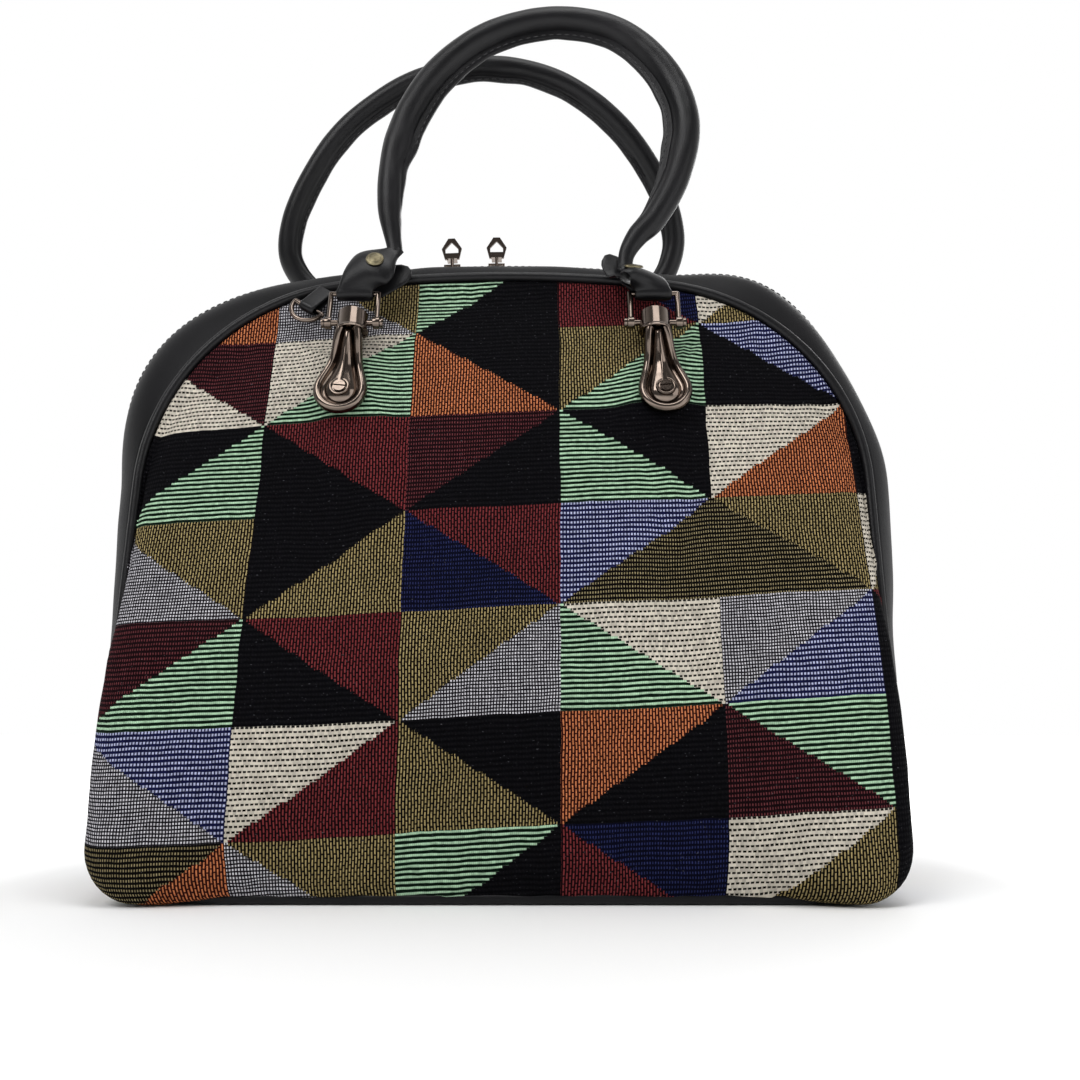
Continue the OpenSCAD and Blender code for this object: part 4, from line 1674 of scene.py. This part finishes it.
@dataclass(frozen=True)
class TabFold:
    """How a tab lies: its twist and belly, and its back layer's lean, slew inwards and length."""

    twist: float
    belly: float
    lean: float
    slew: float
    flap: float
    rivet_share: float = 0.6


@dataclass
class RolledHandle:
    """A handle rolled from leatherette with a stitched fin inside its bow, and tabs at its ends.

    The crumple is the share of its length at which it is pressed into folds.
    """

    word: str
    plane: HandlePlane
    bow: Sequence[Pair]
    bar_x: float
    crumple: float
    folds: tuple[TabFold, TabFold]
    radius: float
    fin: float
    end_radius: float = 6.0 * MM
    fin_t: float = 1.5 * MM
    fin_steps: tuple[Pair, ...] = ((0.35, 0.8), (0.9, 0.75), (1.0, 0.5))
    strap_t: float = 2.1 * MM
    strap_w: float = 18 * MM
    strap_bulge: float = 7 * MM
    strap_bend: float = 14 * MM
    strap_cup: float = 1.8 * MM
    flap_lift: float = 2.2 * MM
    neck_w: float = 8 * MM
    bar_r: float = 1.3 * MM
    rivet_r: float = 4.5 * MM
    thin_share: float = 0.06
    swell_share: float = 0.14
    tip_size: float = 0.62
    tip_share: float = 0.075
    end_flat: float = 0.7
    flat_share: float = 0.1
    broadening: float = 0.12
    run: float = 470 * MM
    wrinkle: float = 0.18 * MM
    wrinkles: float = 95.0
    dent: float = 0.22 * MM
    dents: float = 30.0
    fin_wave: float = 0.1
    fin_waves: float = 60.0
    fold: float = 0.6 * MM
    fold_pitch: float = 5.5 * MM
    fold_reach: float = 0.045
    stitch_size: tuple[float, float, float] = (3.1 * MM, 0.7 * MM, 0.6 * MM)
    stitch_pitch: float = 4.2 * MM
    sides: int = 26
    steps: int = 14
    tab_steps: int = 20
    flap_steps: int = 14

    def __post_init__(self) -> None:
        """Finds the middle line, and how far the strap lies from a bar's middle."""
        self.line = self._middle_line()
        self.loop = self.bar_r + 0.2 * MM + self.strap_t / 2

    def _middle_line(self) -> list[Vector]:
        """A smooth line through the bow's points, in metres.

        Returns:
            Its points.
        """
        bow = [Vector((x * MM, rise * MM)) for x, rise in self.bow]
        bow = [bow[0] * 2 - bow[1], *bow, bow[-1] * 2 - bow[-2]]
        line = []
        for p0, p1, p2, p3 in zip(bow, bow[1:], bow[2:], bow[3:]):
            for t in (k / self.steps for k in range(self.steps)):
                bend = (p0 * 2 - p1 * 5 + p2 * 4 - p3) * t * t
                bend += (p1 * 3 - p0 - p2 * 3 + p3) * t**3
                line.append((p1 * 2 + (p2 - p0) * t + bend) * 0.5)
        return [*line, bow[-2]]

    def _spots(self) -> list[tuple[Vector, Vector, float]]:
        """Places along the handle.

        Returns:
            Each place, the direction towards the inside of the bow, and the share of the length
            that lies before it.
        """
        line, last = self.line, len(self.line) - 1
        ways = [line[min(k + 1, last)] - line[max(k - 1, 0)] for k in range(last + 1)]
        sides = [Vector((way.y, -way.x)).normalized() for way in ways]
        runs = [0.0]
        for before, after in zip(line, line[1:]):
            runs.append(runs[-1] + (after - before).length)
        return [(*spot, run / runs[-1]) for *spot, run in zip(line, sides, runs)]

    def _fullness(self, share: float) -> float:
        """How much of its full thickness and fin the handle has at a share of its length."""
        past_end = min(share, 1 - share) - self.thin_share
        return min(1.0, max(0.0, past_end / self.swell_share))

    def _swelling(self, angle: float, share: float) -> float:
        """How far wrinkles, dents and folds move the surface out.

        Args:
            angle: Place round the handle, from the inside of the bow.
            share: Share of the handle's length.

        Returns:
            The distance.
        """
        run, cos, sin = share * self.run, math.cos(angle), math.sin(angle)
        inner = 0.5 + 0.5 * cos
        spot = Vector((run * self.wrinkles, cos * 1.3, sin * 1.3 + self.plane.face))
        wrinkle = noise.noise(spot)
        dent = noise.noise(Vector((run * self.dents, 4.0, angle * 0.6)))
        squeeze = hump(share, self.crumple, self.fold_reach) * (0.3 + 0.7 * inner)
        swelling = self.wrinkle * wrinkle * (0.4 + inner) + self.dent * dent
        return swelling + self.fold * math.sin(run / self.fold_pitch) * squeeze

    def _ring(self, middle: Vector, side: Vector, share: float) -> list[Vector]:
        """The handle's section at one place, with its fin on the inner side.

        Args:
            middle: The place on the middle line.
            side: The direction towards the inside of the bow.
            share: Share of the handle's length.

        Returns:
            The section's points.
        """
        full, end = self._fullness(share), min(share, 1 - share)
        flat = min(1.0, self.end_flat + (1 - self.end_flat) * end / self.flat_share)
        radius = self.end_radius + (self.radius - self.end_radius) * full
        radius *= self.tip_size + (1 - self.tip_size) * eased(end, 0.0, self.tip_share)
        points, opening = [], math.asin(self.fin_t / radius)
        for k in range(self.sides):
            angle = opening + (math.tau - 2 * opening) * k / (self.sides - 1)
            reach = radius + self._swelling(angle, share)
            across = reach * math.cos(angle) * (1 + self.broadening * (1 - flat))
            points.append((across, reach * math.sin(angle) * flat))
        base = points[0][0]
        spot = Vector((share * self.run * self.fin_waves, 8.0, 0.0))
        wave = 1 + self.fin_wave * noise.noise(spot)
        height, half = self.fin * full * wave, self.fin_t * flat
        fin = [(base + height * up, half * wide) for up, wide in self.fin_steps]
        points += [(across, -out) for across, out in fin] + fin[::-1]
        return [self.plane.at(*self._beside(middle, side, *point)) for point in points]

    @staticmethod
    def _beside(middle: Vector, side: Vector, across: float, out: float) -> StrapPlace:
        """A place across and out of the middle line, as the handle's plane counts it."""
        return middle.x + side.x * across, out, middle.y + side.y * across

    def _stitch_lines(self) -> list[BeadLine]:
        """Where the fin is sewn, on both of its faces.

        Returns:
            A line of places and upward directions for each face.
        """
        lines = []
        reach = self.radius + self.fin * 0.55
        for face in (1, -1):
            up = self.plane.at(0, face, 0) - self.plane.at(0, 0, 0)
            out = face * self.fin_t * 0.8
            sewn = [(m, side) for m, side, share in self._spots() if self._fullness(share) >= 0.8]
            lines.append([(self.plane.at(*self._beside(*spot, reach, out)), up) for spot in sewn])
        return lines

    def _bar(self, end: Vector) -> Vector:
        """The middle of the cross bar that an end is folded round."""
        return Vector((math.copysign(self.bar_x, end.x), 0.0))

    def _tab_front(self, end: Vector, fold: TabFold) -> list[StrapPlace]:
        """The strap of a tab from inside the rolled end down to the bar.

        Args:
            end: The rolled end's place.
            fold: How the tab lies.

        Returns:
            Places as (distance up the tab from the bar, distance out, strap width).
        """
        length = (end - self._bar(end)).length
        widest, path = self.strap_w + self.strap_bulge, []
        for k in range(self.tab_steps + 1):
            up = (length + 2 * MM) * (1 - k / self.tab_steps)
            spread = eased(length - up, 0.0, length - 15 * MM)
            width = self.neck_w + (widest - self.neck_w) * spread
            width -= self.strap_bulge * eased(self.strap_bend - up, 0.0, self.strap_bend)
            belly = fold.belly * math.sin(math.pi * min(1.0, up / length)) ** 1.3
            out = self.loop * (0.5 + 0.5 * eased(length - up, 0.0, length * 0.6))
            path.append((up, out + belly, width))
        return path

    def _tab_back(self, fold: TabFold) -> list[StrapPlace]:
        """The strap of a tab from the bar up behind, narrowing to a round end.

        Args:
            fold: How the tab lies.

        Returns:
            Places as in _tab_front.
        """
        path, last = [], self.flap_steps
        for k in range(last + 1):
            tip = math.sqrt(max(0.1, 1 - max(0.0, (k - last + 3) / 3) ** 2))
            width = self.strap_w * tip * (1 - 0.3 * k / last)
            out = -self.loop - self.flap_lift * eased(k, 0, last)
            path.append((fold.flap * k / last, out, width))
        return path

    def _tab_place(self, end: Vector, fold: TabFold) -> Placing:
        """Where the points of a tab are, which leans, cups and twists as it leaves the bar.

        Args:
            end: The rolled end's place.
            fold: How the tab lies.

        Returns:
            A function of the distances across the strap, out and up it.
        """
        bar = self._bar(end)
        length = (end - bar).length
        inwards = -math.copysign(1.0, end.x)
        front_way = (end - bar) / length
        back_way = Vector((inwards * math.sin(fold.lean), math.cos(fold.lean)))

        def place(w: float, out: float, up: float) -> Vector:
            """A point of the tab.

            Args:
                w: Distance across the strap.
                out: Distance out.
                up: Distance up the tab.

            Returns:
                The point.
            """
            turn = eased(up, 0.0, self.strap_bend)
            way = front_way if out > 0 else back_way
            axis = Vector((1.0, 0.0)).lerp(Vector((way.y, -way.x)), turn).normalized()
            slew = inwards * fold.slew * turn if out < 0 else 0.0
            out -= self.strap_cup * turn * (w / (10 * MM)) ** 2 * (1 if out > 0 else -0.3)
            angle = fold.twist * turn * (1 - 0.7 * eased(up, 0.75 * length, length))
            across = slew + w * math.cos(angle) - max(0.0, out) * math.sin(angle)
            spot = bar + (way if up > 0 else Vector((0.0, 1.0))) * up + axis * across
            return self.plane.at(spot.x, w * math.sin(angle) + out * math.cos(angle), spot.y)

        return place

    def _rivet(self, skin: Skin, end: Vector, fold: TabFold) -> None:
        """Adds the two caps of one tab's rivet.

        Args:
            skin: The skin that collects the caps.
            end: The rolled end's place.
            fold: How the tab lies.
        """
        place = self._tab_place(end, fold)
        rise = (end - self._bar(end)).length * fold.rivet_share
        cap = ((0.0, 0.0), (1.0, 0.0), (1.0, 0.35), (0.93, 0.85), (0.7, 1.15), (0.62, 1.0))
        cap = [(r * self.rivet_r, up * MM) for r, up in (*cap, (0.3, 1.35))]
        outline = [Vector((max(r, 0.05 * MM), up)) for r, up in cap]
        face = [(out + self.strap_t / 2, up) for up, out, _ in self._tab_front(end, fold)]
        near = min(range(1, self.tab_steps), key=lambda k: abs(face[k][1] - rise))
        middle = place(0.0, *face[near])
        up = (place(0.0, *face[near - 1]) - place(0.0, *face[near + 1])).normalized()
        right = (place(MM, *face[near]) - place(-MM, *face[near])).normalized()
        way = right.cross(up).normalized()
        way = way if way.y * self.plane.face < 0 else -way
        for centre, out in ((middle, way), (middle - way * (4 * self.strap_t), -way)):

            def spot(a: float, b: float, c: float) -> Vector:
                """A point of the cap on this face."""
                return centre + right * a + up * b + out * c

            skin.turned(outline, spot, 28)

    def build(self, finishes: Finishes) -> None:
        """Makes the handle, its stitches and its rivets.

        Args:
            finishes: The bag's materials.
        """
        skin, caps = Skin(), Skin()
        skin.tube([self._ring(*spot) for spot in self._spots()])
        for end, fold in zip((self.line[0], self.line[-1]), self.folds):
            path = [*self._tab_front(end, fold), *bent_round(self.loop, self.strap_w)]
            path += self._tab_back(fold)
            skin.tube(strap_rings(path, self.strap_t, self._tab_place(end, fold)))
            self._rivet(caps, end, fold)
        body = f"{self.word}_handle"
        made = skin.piece(f"{self.word}_grip", finishes.leatherette, 55)
        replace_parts(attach(made, body), body)
        row = BeadRow(Bead.STITCH, self.stitch_pitch, self.stitch_size)
        stitches = row.along(f"{self.word}_grip_stitches", self._stitch_lines(), finishes.thread)
        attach(stitches, body)
        made = caps.piece(f"{self.word}_rivet_caps", finishes.rivet, 30)
        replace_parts(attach(made, body), f"{self.word}_tab_rivets")


@dataclass
class FittingPlace:
    """The frame in which the metal on a panel is made: right, out of the panel and up it."""

    origin: Vector
    out: Vector
    up: Vector
    face: int

    def at(self, x: float, out: float, up: float) -> Vector:
        """A point in the bag's frame."""
        point = self.origin + Vector((x, 0.0, 0.0)) + self.out * out + self.up * up
        return turned_back([point], self.face)[0]


@dataclass
class MetalDrop:
    """A rimmed drop with a raised tongue, a ringed boss for its screw and a collar for the pin.

    Its profiles are in mm: the rim's as (inset, height), the tongue's as (radius and height of
    its wide end, the same of its narrow end, height), the boss's and the collar's as (radius,
    height along the axis).
    """

    place: FittingPlace
    middle_x: float
    low_r: float = 13 * MM
    low_z: float = -17 * MM
    neck_r: float = 6.5 * MM
    neck_z: float = 11 * MM
    hollow: float = 1.3 * MM
    neck_lift: float = 8.5 * MM
    lift_heights: Pair = (-6 * MM, 15 * MM)
    tilt: float = math.radians(6)
    seat: float = 0.3 * MM
    pin_out: float = 6.7 * MM
    pin_rise: float = 19 * MM
    collar_r: float = 7.8 * MM
    collar_dip: float = 1.6 * MM
    arc_steps: int = 18
    flank_steps: int = 8
    rim: tuple[Pair, ...] = (
        (0.3, 0.0), (0.0, 0.4), (0.0, 1.6), (0.3, 2.8), (0.9, 3.7), (1.8, 4.25), (2.7, 4.2),
        (3.4, 3.7), (3.8, 2.9), (4.0, 2.2), (4.4, 1.8),
    )  # fmt: skip
    tongue: tuple[tuple[float, ...], ...] = (
        (7.8, -16.8, 1.9, 10.6, 1.5), (7.3, -16.6, 1.7, 10.4, 2.3), (6.4, -16.4, 1.5, 10.2, 3.1),
        (5.0, -16.2, 1.1, 9.6, 3.8), (3.2, -16.0, 0.7, 8.8, 4.4), (1.4, -15.5, 0.3, 6.0, 4.7),
    )  # fmt: skip
    boss: tuple[Pair, ...] = (
        (4.9, 2.4), (4.9, 4.5), (4.6, 4.95), (4.1, 5.05), (3.6, 4.8), (3.4, 4.3), (0.05, 4.3),
    )  # fmt: skip
    collar: tuple[Pair, ...] = (
        (0.05, -5.4), (7.0, -5.4), (7.8, -5.2), (8.1, -4.7), (8.0, -4.0), (7.5, -3.5), (7.4, -3.0),
        (7.4, 4.2), (7.3, 4.8), (6.9, 5.1), (6.4, 5.0), (6.1, 4.5), (6.0, 3.6), (0.05, 3.4),
    )  # fmt: skip

    @classmethod
    def beside(cls, pin: Vector, bar: Vector, face: int) -> FittingPlace:
        """The frame of the drops under a pin.

        Args:
            pin: A point on the front's pins.
            bar: A point on the front's cross bars, straight up the panel from the pins.
            face: The front's drops or the back's.

        Returns:
            The frame.
        """
        up = (bar - pin).normalized()
        out = Vector((0.0, -up.z, up.y))
        return FittingPlace(pin - up * cls.pin_rise - out * cls.pin_out, out, up, face)

    def _tilted(self, x: float, out: float, z: float) -> Vector:
        """A point of the plate, which is turned about the pin with its wide end outwards.

        Args:
            x: Distance right of the drop's middle line.
            out: Distance out of the panel.
            z: Distance up the panel.

        Returns:
            The point.
        """
        turn = math.copysign(self.tilt, self.middle_x)
        cos, sin, rise = math.cos(turn), math.sin(turn), z - self.pin_rise
        out += self.neck_lift * eased(z, *self.lift_heights) * min(1.0, out / (2 * MM))
        across, up = x * cos - rise * sin, x * sin + rise * cos
        return self.place.at(self.middle_x + across, out, self.pin_rise + up)

    def _arc(self, radius: float, z: float, start: float, sweep: float) -> list[Pair]:
        """Places on an arc about the middle line."""
        turns = (start + sweep * k / self.arc_steps for k in range(self.arc_steps + 1))
        return [(radius * math.cos(a), z + radius * math.sin(a)) for a in turns]

    def _ring(
        self, low_r: float, low_z: float, high_r: float, high_z: float, out: float
    ) -> list[Vector]:
        """The drop's outline at one height.

        Args:
            low_r: Radius of the wide arc below.
            low_z: Its middle.
            high_r: Radius of the narrow arc above.
            high_z: Its middle.
            out: The height over the seat.

        Returns:
            The outline's points, with hollow flanks between the arcs.
        """
        lean = math.asin((low_r - high_r) / (high_z - low_z))
        hollow = self.hollow * low_r / self.low_r
        low = self._arc(low_r, low_z, math.pi - lean, math.pi + 2 * lean)
        high = self._arc(high_r, high_z, lean, math.pi - 2 * lean)
        right = self._flank(low[-1], high[0], hollow)
        shape = [*low, *right, *high, *self._flank(high[-1], low[0], -hollow)]
        return [self._tilted(x, self.seat + out, z) for x, z in shape]

    def _flank(self, start: Pair, end: Pair, hollow: float) -> list[Pair]:
        """The hollow side between two arcs, without its ends.

        Args:
            start: The end of the one arc.
            end: The start of the other.
            hollow: How far its middle lies to the left of the straight line.

        Returns:
            Places on the side.
        """
        places = []
        for share in (k / self.flank_steps for k in range(1, self.flank_steps)):
            x, z = between(start, end, share)
            places.append((x - hollow * eased(1 - abs(2 * share - 1), 0, 1), z))
        return places

    def _plate(self, skin: Skin) -> None:
        """Adds the plate with its broad rounded rim, valley and tongue.

        Args:
            skin: The skin that collects the drop.
        """
        low, neck = (self.low_r, self.low_z), (self.neck_r, self.neck_z)
        rim = [(low[0] - i * MM, low[1], neck[0] - i * MM, neck[1], t * MM) for i, t in self.rim]
        tongue = [[value * MM for value in step] for step in self.tongue]
        skin.tube([self._ring(*step) for step in (*rim, *tongue)])

    def _boss(self, skin: Skin) -> None:
        """Adds the raised ring round the screw."""
        shape = [Vector((r * MM, self.seat + out * MM)) for r, out in self.boss]
        skin.turned(shape, lambda a, b, c: self._tilted(a, c, self.low_z + b), 36)

    def _collar(self, skin: Skin) -> None:
        """Adds the upright collar, flattened against the cloth behind.

        Args:
            skin: The skin that collects the drop.
        """
        shape = [Vector((r * MM, up * MM)) for r, up in self.collar]

        def place(a: float, b: float, c: float) -> Vector:
            """A point of the collar, kept off the cloth.

            Args:
                a: Distance right.
                b: Distance out.
                c: Distance up.

            Returns:
                The point.
            """
            low = self.collar_dip * max(0.0, b / self.collar_r) if c < 0 else 0.0
            out = max(self.seat, self.pin_out + b)
            return self.place.at(self.middle_x + a, out, self.pin_rise + c - low)

        skin.turned(shape, place, 44)

    def build(self, name: str, node: str, finishes: Finishes) -> None:
        """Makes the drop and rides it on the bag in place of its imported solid.

        Args:
            name: The piece's name.
            node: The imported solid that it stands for.
            finishes: The bag's materials.
        """
        skin = Skin()
        for add in (self._plate, self._boss, self._collar):
            add(skin)
        made = skin.piece(name, finishes.gunmetal, 42)
        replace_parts(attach(made, "bag"), node)


@dataclass
class RingLoop:
    """The short leatherette loop that holds a strap ring at the seam."""

    middle: Vector
    bar: Vector
    word: str
    width: float = 9 * MM
    length: float = 13.6 * MM
    bar_r: float = 1.2 * MM
    thickness: float = 1.5 * MM
    steps: int = 6

    def build(self, finishes: Finishes) -> None:
        """Makes the loop, doubled round the ring's straight side.

        Args:
            finishes: The bag's materials.
        """
        out = Vector((0.0, self.bar.z, -self.bar.y)).normalized()
        out = out if (out.y < 0) == (self.middle.y < 0) else -out
        up = out.cross(self.bar).normalized()
        up = up if up.z > 0 else -up
        bend = self.bar_r + 0.15 * MM + self.thickness / 2
        shares = [k / self.steps for k in range(self.steps + 1)]
        back = [(self.length * s, -bend * (1 - 0.45 * s), self.width) for s in shares]
        front = [(rise, -off, width) for rise, off, width in reversed(back)]
        path = [*front, *bent_round(bend, self.width), *back]

        def place(w: float, o: float, u: float) -> Vector:
            """A point of the loop."""
            return self.middle + self.bar * w + out * o + up * u

        skin = Skin()
        skin.tube(strap_rings(path, self.thickness, place))
        made = skin.piece(f"{self.word}_loop", finishes.leatherette, 50)
        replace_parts(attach(made, "bag"), f"{self.word}_ring_loop")


@dataclass
class SmallMetal:
    """Packed metal that is shown as it is, with its edges eased and a polished finish."""

    nodes: dict[str, bpy.types.Object]
    bail_bevel: float = 0.2 * MM
    pin_bevel: float = 0.25 * MM
    slider_bevel: float = 0.35 * MM
    pull_bevel: float = 0.3 * MM

    def build(self, finishes: Finishes) -> None:
        """Finishes the bails, pins, screws, washers, rings, sliders and pull tabs.

        Args:
            finishes: The bag's materials.
        """
        bevels = {name: self.pin_bevel for name in ("bail_pins", "drop_screws", "screw_washers")}
        for side, _ in SIDES:
            bevels |= {f"{word}_{side}_bail": self.bail_bevel for word, _ in FACES}
            bevels[f"{side}_zip_slider"] = self.slider_bevel
            bevels[f"{side}_zip_pull"] = self.pull_bevel
        bevels |= {f"{word}_strap_ring": 0.0 for word, _ in FACES}
        for name, bevel in bevels.items():
            dress_node(self.nodes[name], finishes.gunmetal, bevel)


@dataclass(frozen=True)
class Lamp:
    """A square soft light aimed at the bag."""

    name: str
    place: tuple[float, float, float]
    size: float
    power: float
    aim: tuple[float, float, float] = (0.0, 0.0, 0.2)

    def build(self) -> None:
        """Hangs the light."""
        lamp = bpy.data.lights.new(self.name, "AREA")
        lamp.shape = "SQUARE"
        lamp.size = self.size
        lamp.energy = self.power
        holder = add_object(self.name, lamp)
        holder.location = Vector(self.place)
        way = Vector(self.aim) - Vector(self.place)
        holder.rotation_euler = way.to_track_quat("-Z", "Y").to_euler()


@dataclass
class Studio:
    """A pale floor, soft light and the camera."""

    eye: tuple[float, float, float] = (0.0195, -0.5657, 0.0723)
    pitch: float = math.radians(9.99)
    yaw: float = math.radians(-0.19)
    view_angle: float = 2 * math.atan(540 / 1100)
    sensor: float = 36.0
    floor_half: float = 30.0
    floor_grey: float = 0.86
    shadow_end: Pair = (0.24, 0.6)
    backdrop: Pair = (-0.3, 0.3)
    room_light: float = 0.24
    lamps: tuple[Lamp, ...] = (
        Lamp("key", (-0.9, -1.3, 1.5), size=1.0, power=21),
        Lamp("fill", (1.4, -1.1, 0.7), size=1.0, power=7),
        Lamp("top", (0.15, -0.5, 1.6), size=0.8, power=9),
        Lamp("rim", (0.8, 1.4, 1.2), size=0.9, power=7),
    )

    def _floor(self) -> None:
        """Lays a pale floor that keeps the bag's shadow and fades to white further off."""
        mesh = bpy.data.meshes.new("floor")
        corners = [(-1, -1), (1, -1), (1, 1), (-1, 1)]
        points = [Vector((x, y, 0)) * self.floor_half for x, y in corners]
        mesh.from_pydata(points, [], [(0, 1, 2, 3)])
        floor = add_object("floor", mesh)
        shade = Shade("pale floor")
        measure = {"operation": "LENGTH"}
        distance = shade.node("ShaderNodeVectorMath", measure, {0: shade.place()}, "Value")
        seen: Number = 0.0
        for kind in ("Camera", "Glossy", "Transmission"):
            seen = shade.ray(kind) + seen
        white = distance.stretched(*self.shadow_end) * (seen > 0.5)
        sockets = {"Base Color": (*[self.floor_grey] * 3, 1.0), "Roughness": 0.9}
        shade.finish({**sockets, "Emission Color": white, "Emission Strength": 1.0})
        mesh.materials.append(shade.material)

    def _sky(self) -> None:
        """A white backdrop, and a dimmer room behind the camera, which sees white all round."""
        world = bpy.data.worlds.new("studio surround")
        world.use_nodes = True
        graph = Graph(world.node_tree)
        _, ahead, _ = graph.split(graph.place("Generated"))
        backdrop = ahead.stretched(*self.backdrop)
        white = backdrop.maths("MAXIMUM", backdrop, graph.ray("Camera"))
        level = white * (1 - self.room_light) + self.room_light
        sockets = {"Color": (1.0, 1.0, 1.0, 1.0), "Strength": level}
        sky = graph.node("ShaderNodeBackground", {}, sockets)
        graph.end("ShaderNodeOutputWorld", "Surface", sky)
        bpy.context.scene.world = world

    def build(self) -> None:
        """Sets up floor, light, surround and camera."""
        self._floor()
        self._sky()
        for lamp in self.lamps:
            lamp.build()
        camera = bpy.data.cameras.new("camera")
        camera.sensor_width = self.sensor
        camera.lens = self.sensor / 2 / math.tan(self.view_angle / 2)
        holder = add_object("camera", camera)
        level = math.cos(self.pitch)
        ahead = (math.sin(self.yaw) * level, math.cos(self.yaw) * level, math.sin(self.pitch))
        holder.location = Vector(self.eye)
        holder.rotation_euler = Vector(ahead).to_track_quat("-Z", "Y").to_euler()
        bpy.context.scene.camera = holder
        bpy.context.scene.view_settings.view_transform = "Standard"
        LOG.info("studio ready")


# Middle lines of the two handles as they stand: mm right of the middle and above the cross bars.
FRONT_BOW: tuple[Pair, ...] = (
    (-55, 24), (-59, 50), (-58, 80), (-50, 110), (-34, 137), (-8, 159), (27, 168), (60, 160),
    (84, 135), (94, 103.5), (89, 71), (77, 45), (67, 33), (61.5, 23), (60, 14),
)  # fmt: skip
BACK_BOW: tuple[Pair, ...] = (
    (-62, 24), (-78, 36), (-92, 53), (-96, 76), (-86, 107), (-63, 140), (-29, 165), (10, 174),
    (52, 167), (83, 149), (103, 130), (118, 106), (128, 82), (129, 60), (117, 42), (96, 30),
    (78, 24),
)  # fmt: skip
HANDLE_LEAN = math.radians(8)
FLAT_TAB = TabFold(twist=0.1, belly=3 * MM, lean=0.5, slew=3 * MM, flap=18 * MM)
LEFT_TAB = TabFold(
    twist=math.radians(8), belly=5 * MM, lean=math.radians(57), slew=0.0, flap=31 * MM
)
RIGHT_TAB = TabFold(
    twist=math.radians(-55),
    belly=3 * MM,
    lean=math.radians(27),
    slew=8.5 * MM,
    flap=32 * MM,
    rivet_share=0.8,
)

# Where the drops clamp the cloth: below the pins, from the drop's middle and further down.
HOLD_BELOW = (22 * MM, 36 * MM)
HOLD_REACH = 9 * MM


def main() -> None:
    """Builds and dresses every piece of the bag."""
    logging.basicConfig(level=logging.INFO, format="%(message)s")
    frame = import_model()
    nodes = frame["nodes"]
    joints = {joint["name"]: Vector(joint["pos_m"]) for joint in frame["joints"]}
    axes = {joint["name"]: Vector(joint["axis"]) for joint in frame["joints"]}
    pin, bar = joints["front_bails_swing"], joints["front_handle_swing"]
    finishes = Finishes()
    form = BagForm.measured()
    low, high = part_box("front_right_bail")
    bar_x = (low.x + high.x) / 2
    spots = [(side * bar_x, pin.z - below) for _, side in SIDES for below in HOLD_BELOW]
    holds = [(x, z, HOLD_REACH) for x, z in spots]
    for word, face in FACES:
        WovenPanel(form, word, face, holds).build(finishes)
    for assembly in (Sides(form), Piping(form), ZipStrip(form)):
        assembly.build(finishes)
    Base(form).build(nodes, finishes)
    shapes = (
        {"bow": FRONT_BOW, "crumple": 0.16, "radius": 7.5 * MM, "fin": 4.5 * MM},
        {"bow": BACK_BOW, "crumple": 0.46, "radius": 6.2 * MM, "fin": 2.6 * MM},
    )
    tabs = ((LEFT_TAB, RIGHT_TAB), (FLAT_TAB, FLAT_TAB))
    for (word, face), shape, folds in zip(FACES, shapes, tabs):
        plane = HandlePlane(bar, HANDLE_LEAN, face)
        RolledHandle(word, plane, bar_x=bar_x, folds=folds, **shape).build(finishes)
        place = MetalDrop.beside(pin, bar, face)
        for side, sign in SIDES:
            drop = MetalDrop(place, sign * face * bar_x)
            drop.build(f"{word}_{side}_plate", f"{word}_{side}_drop", finishes)
        ring = f"{word}_ring_swing"
        RingLoop(joints[ring], axes[ring].normalized(), word).build(finishes)
    SmallMetal(nodes).build(finishes)
    Studio().build()


if __name__ == "__main__":
    main()
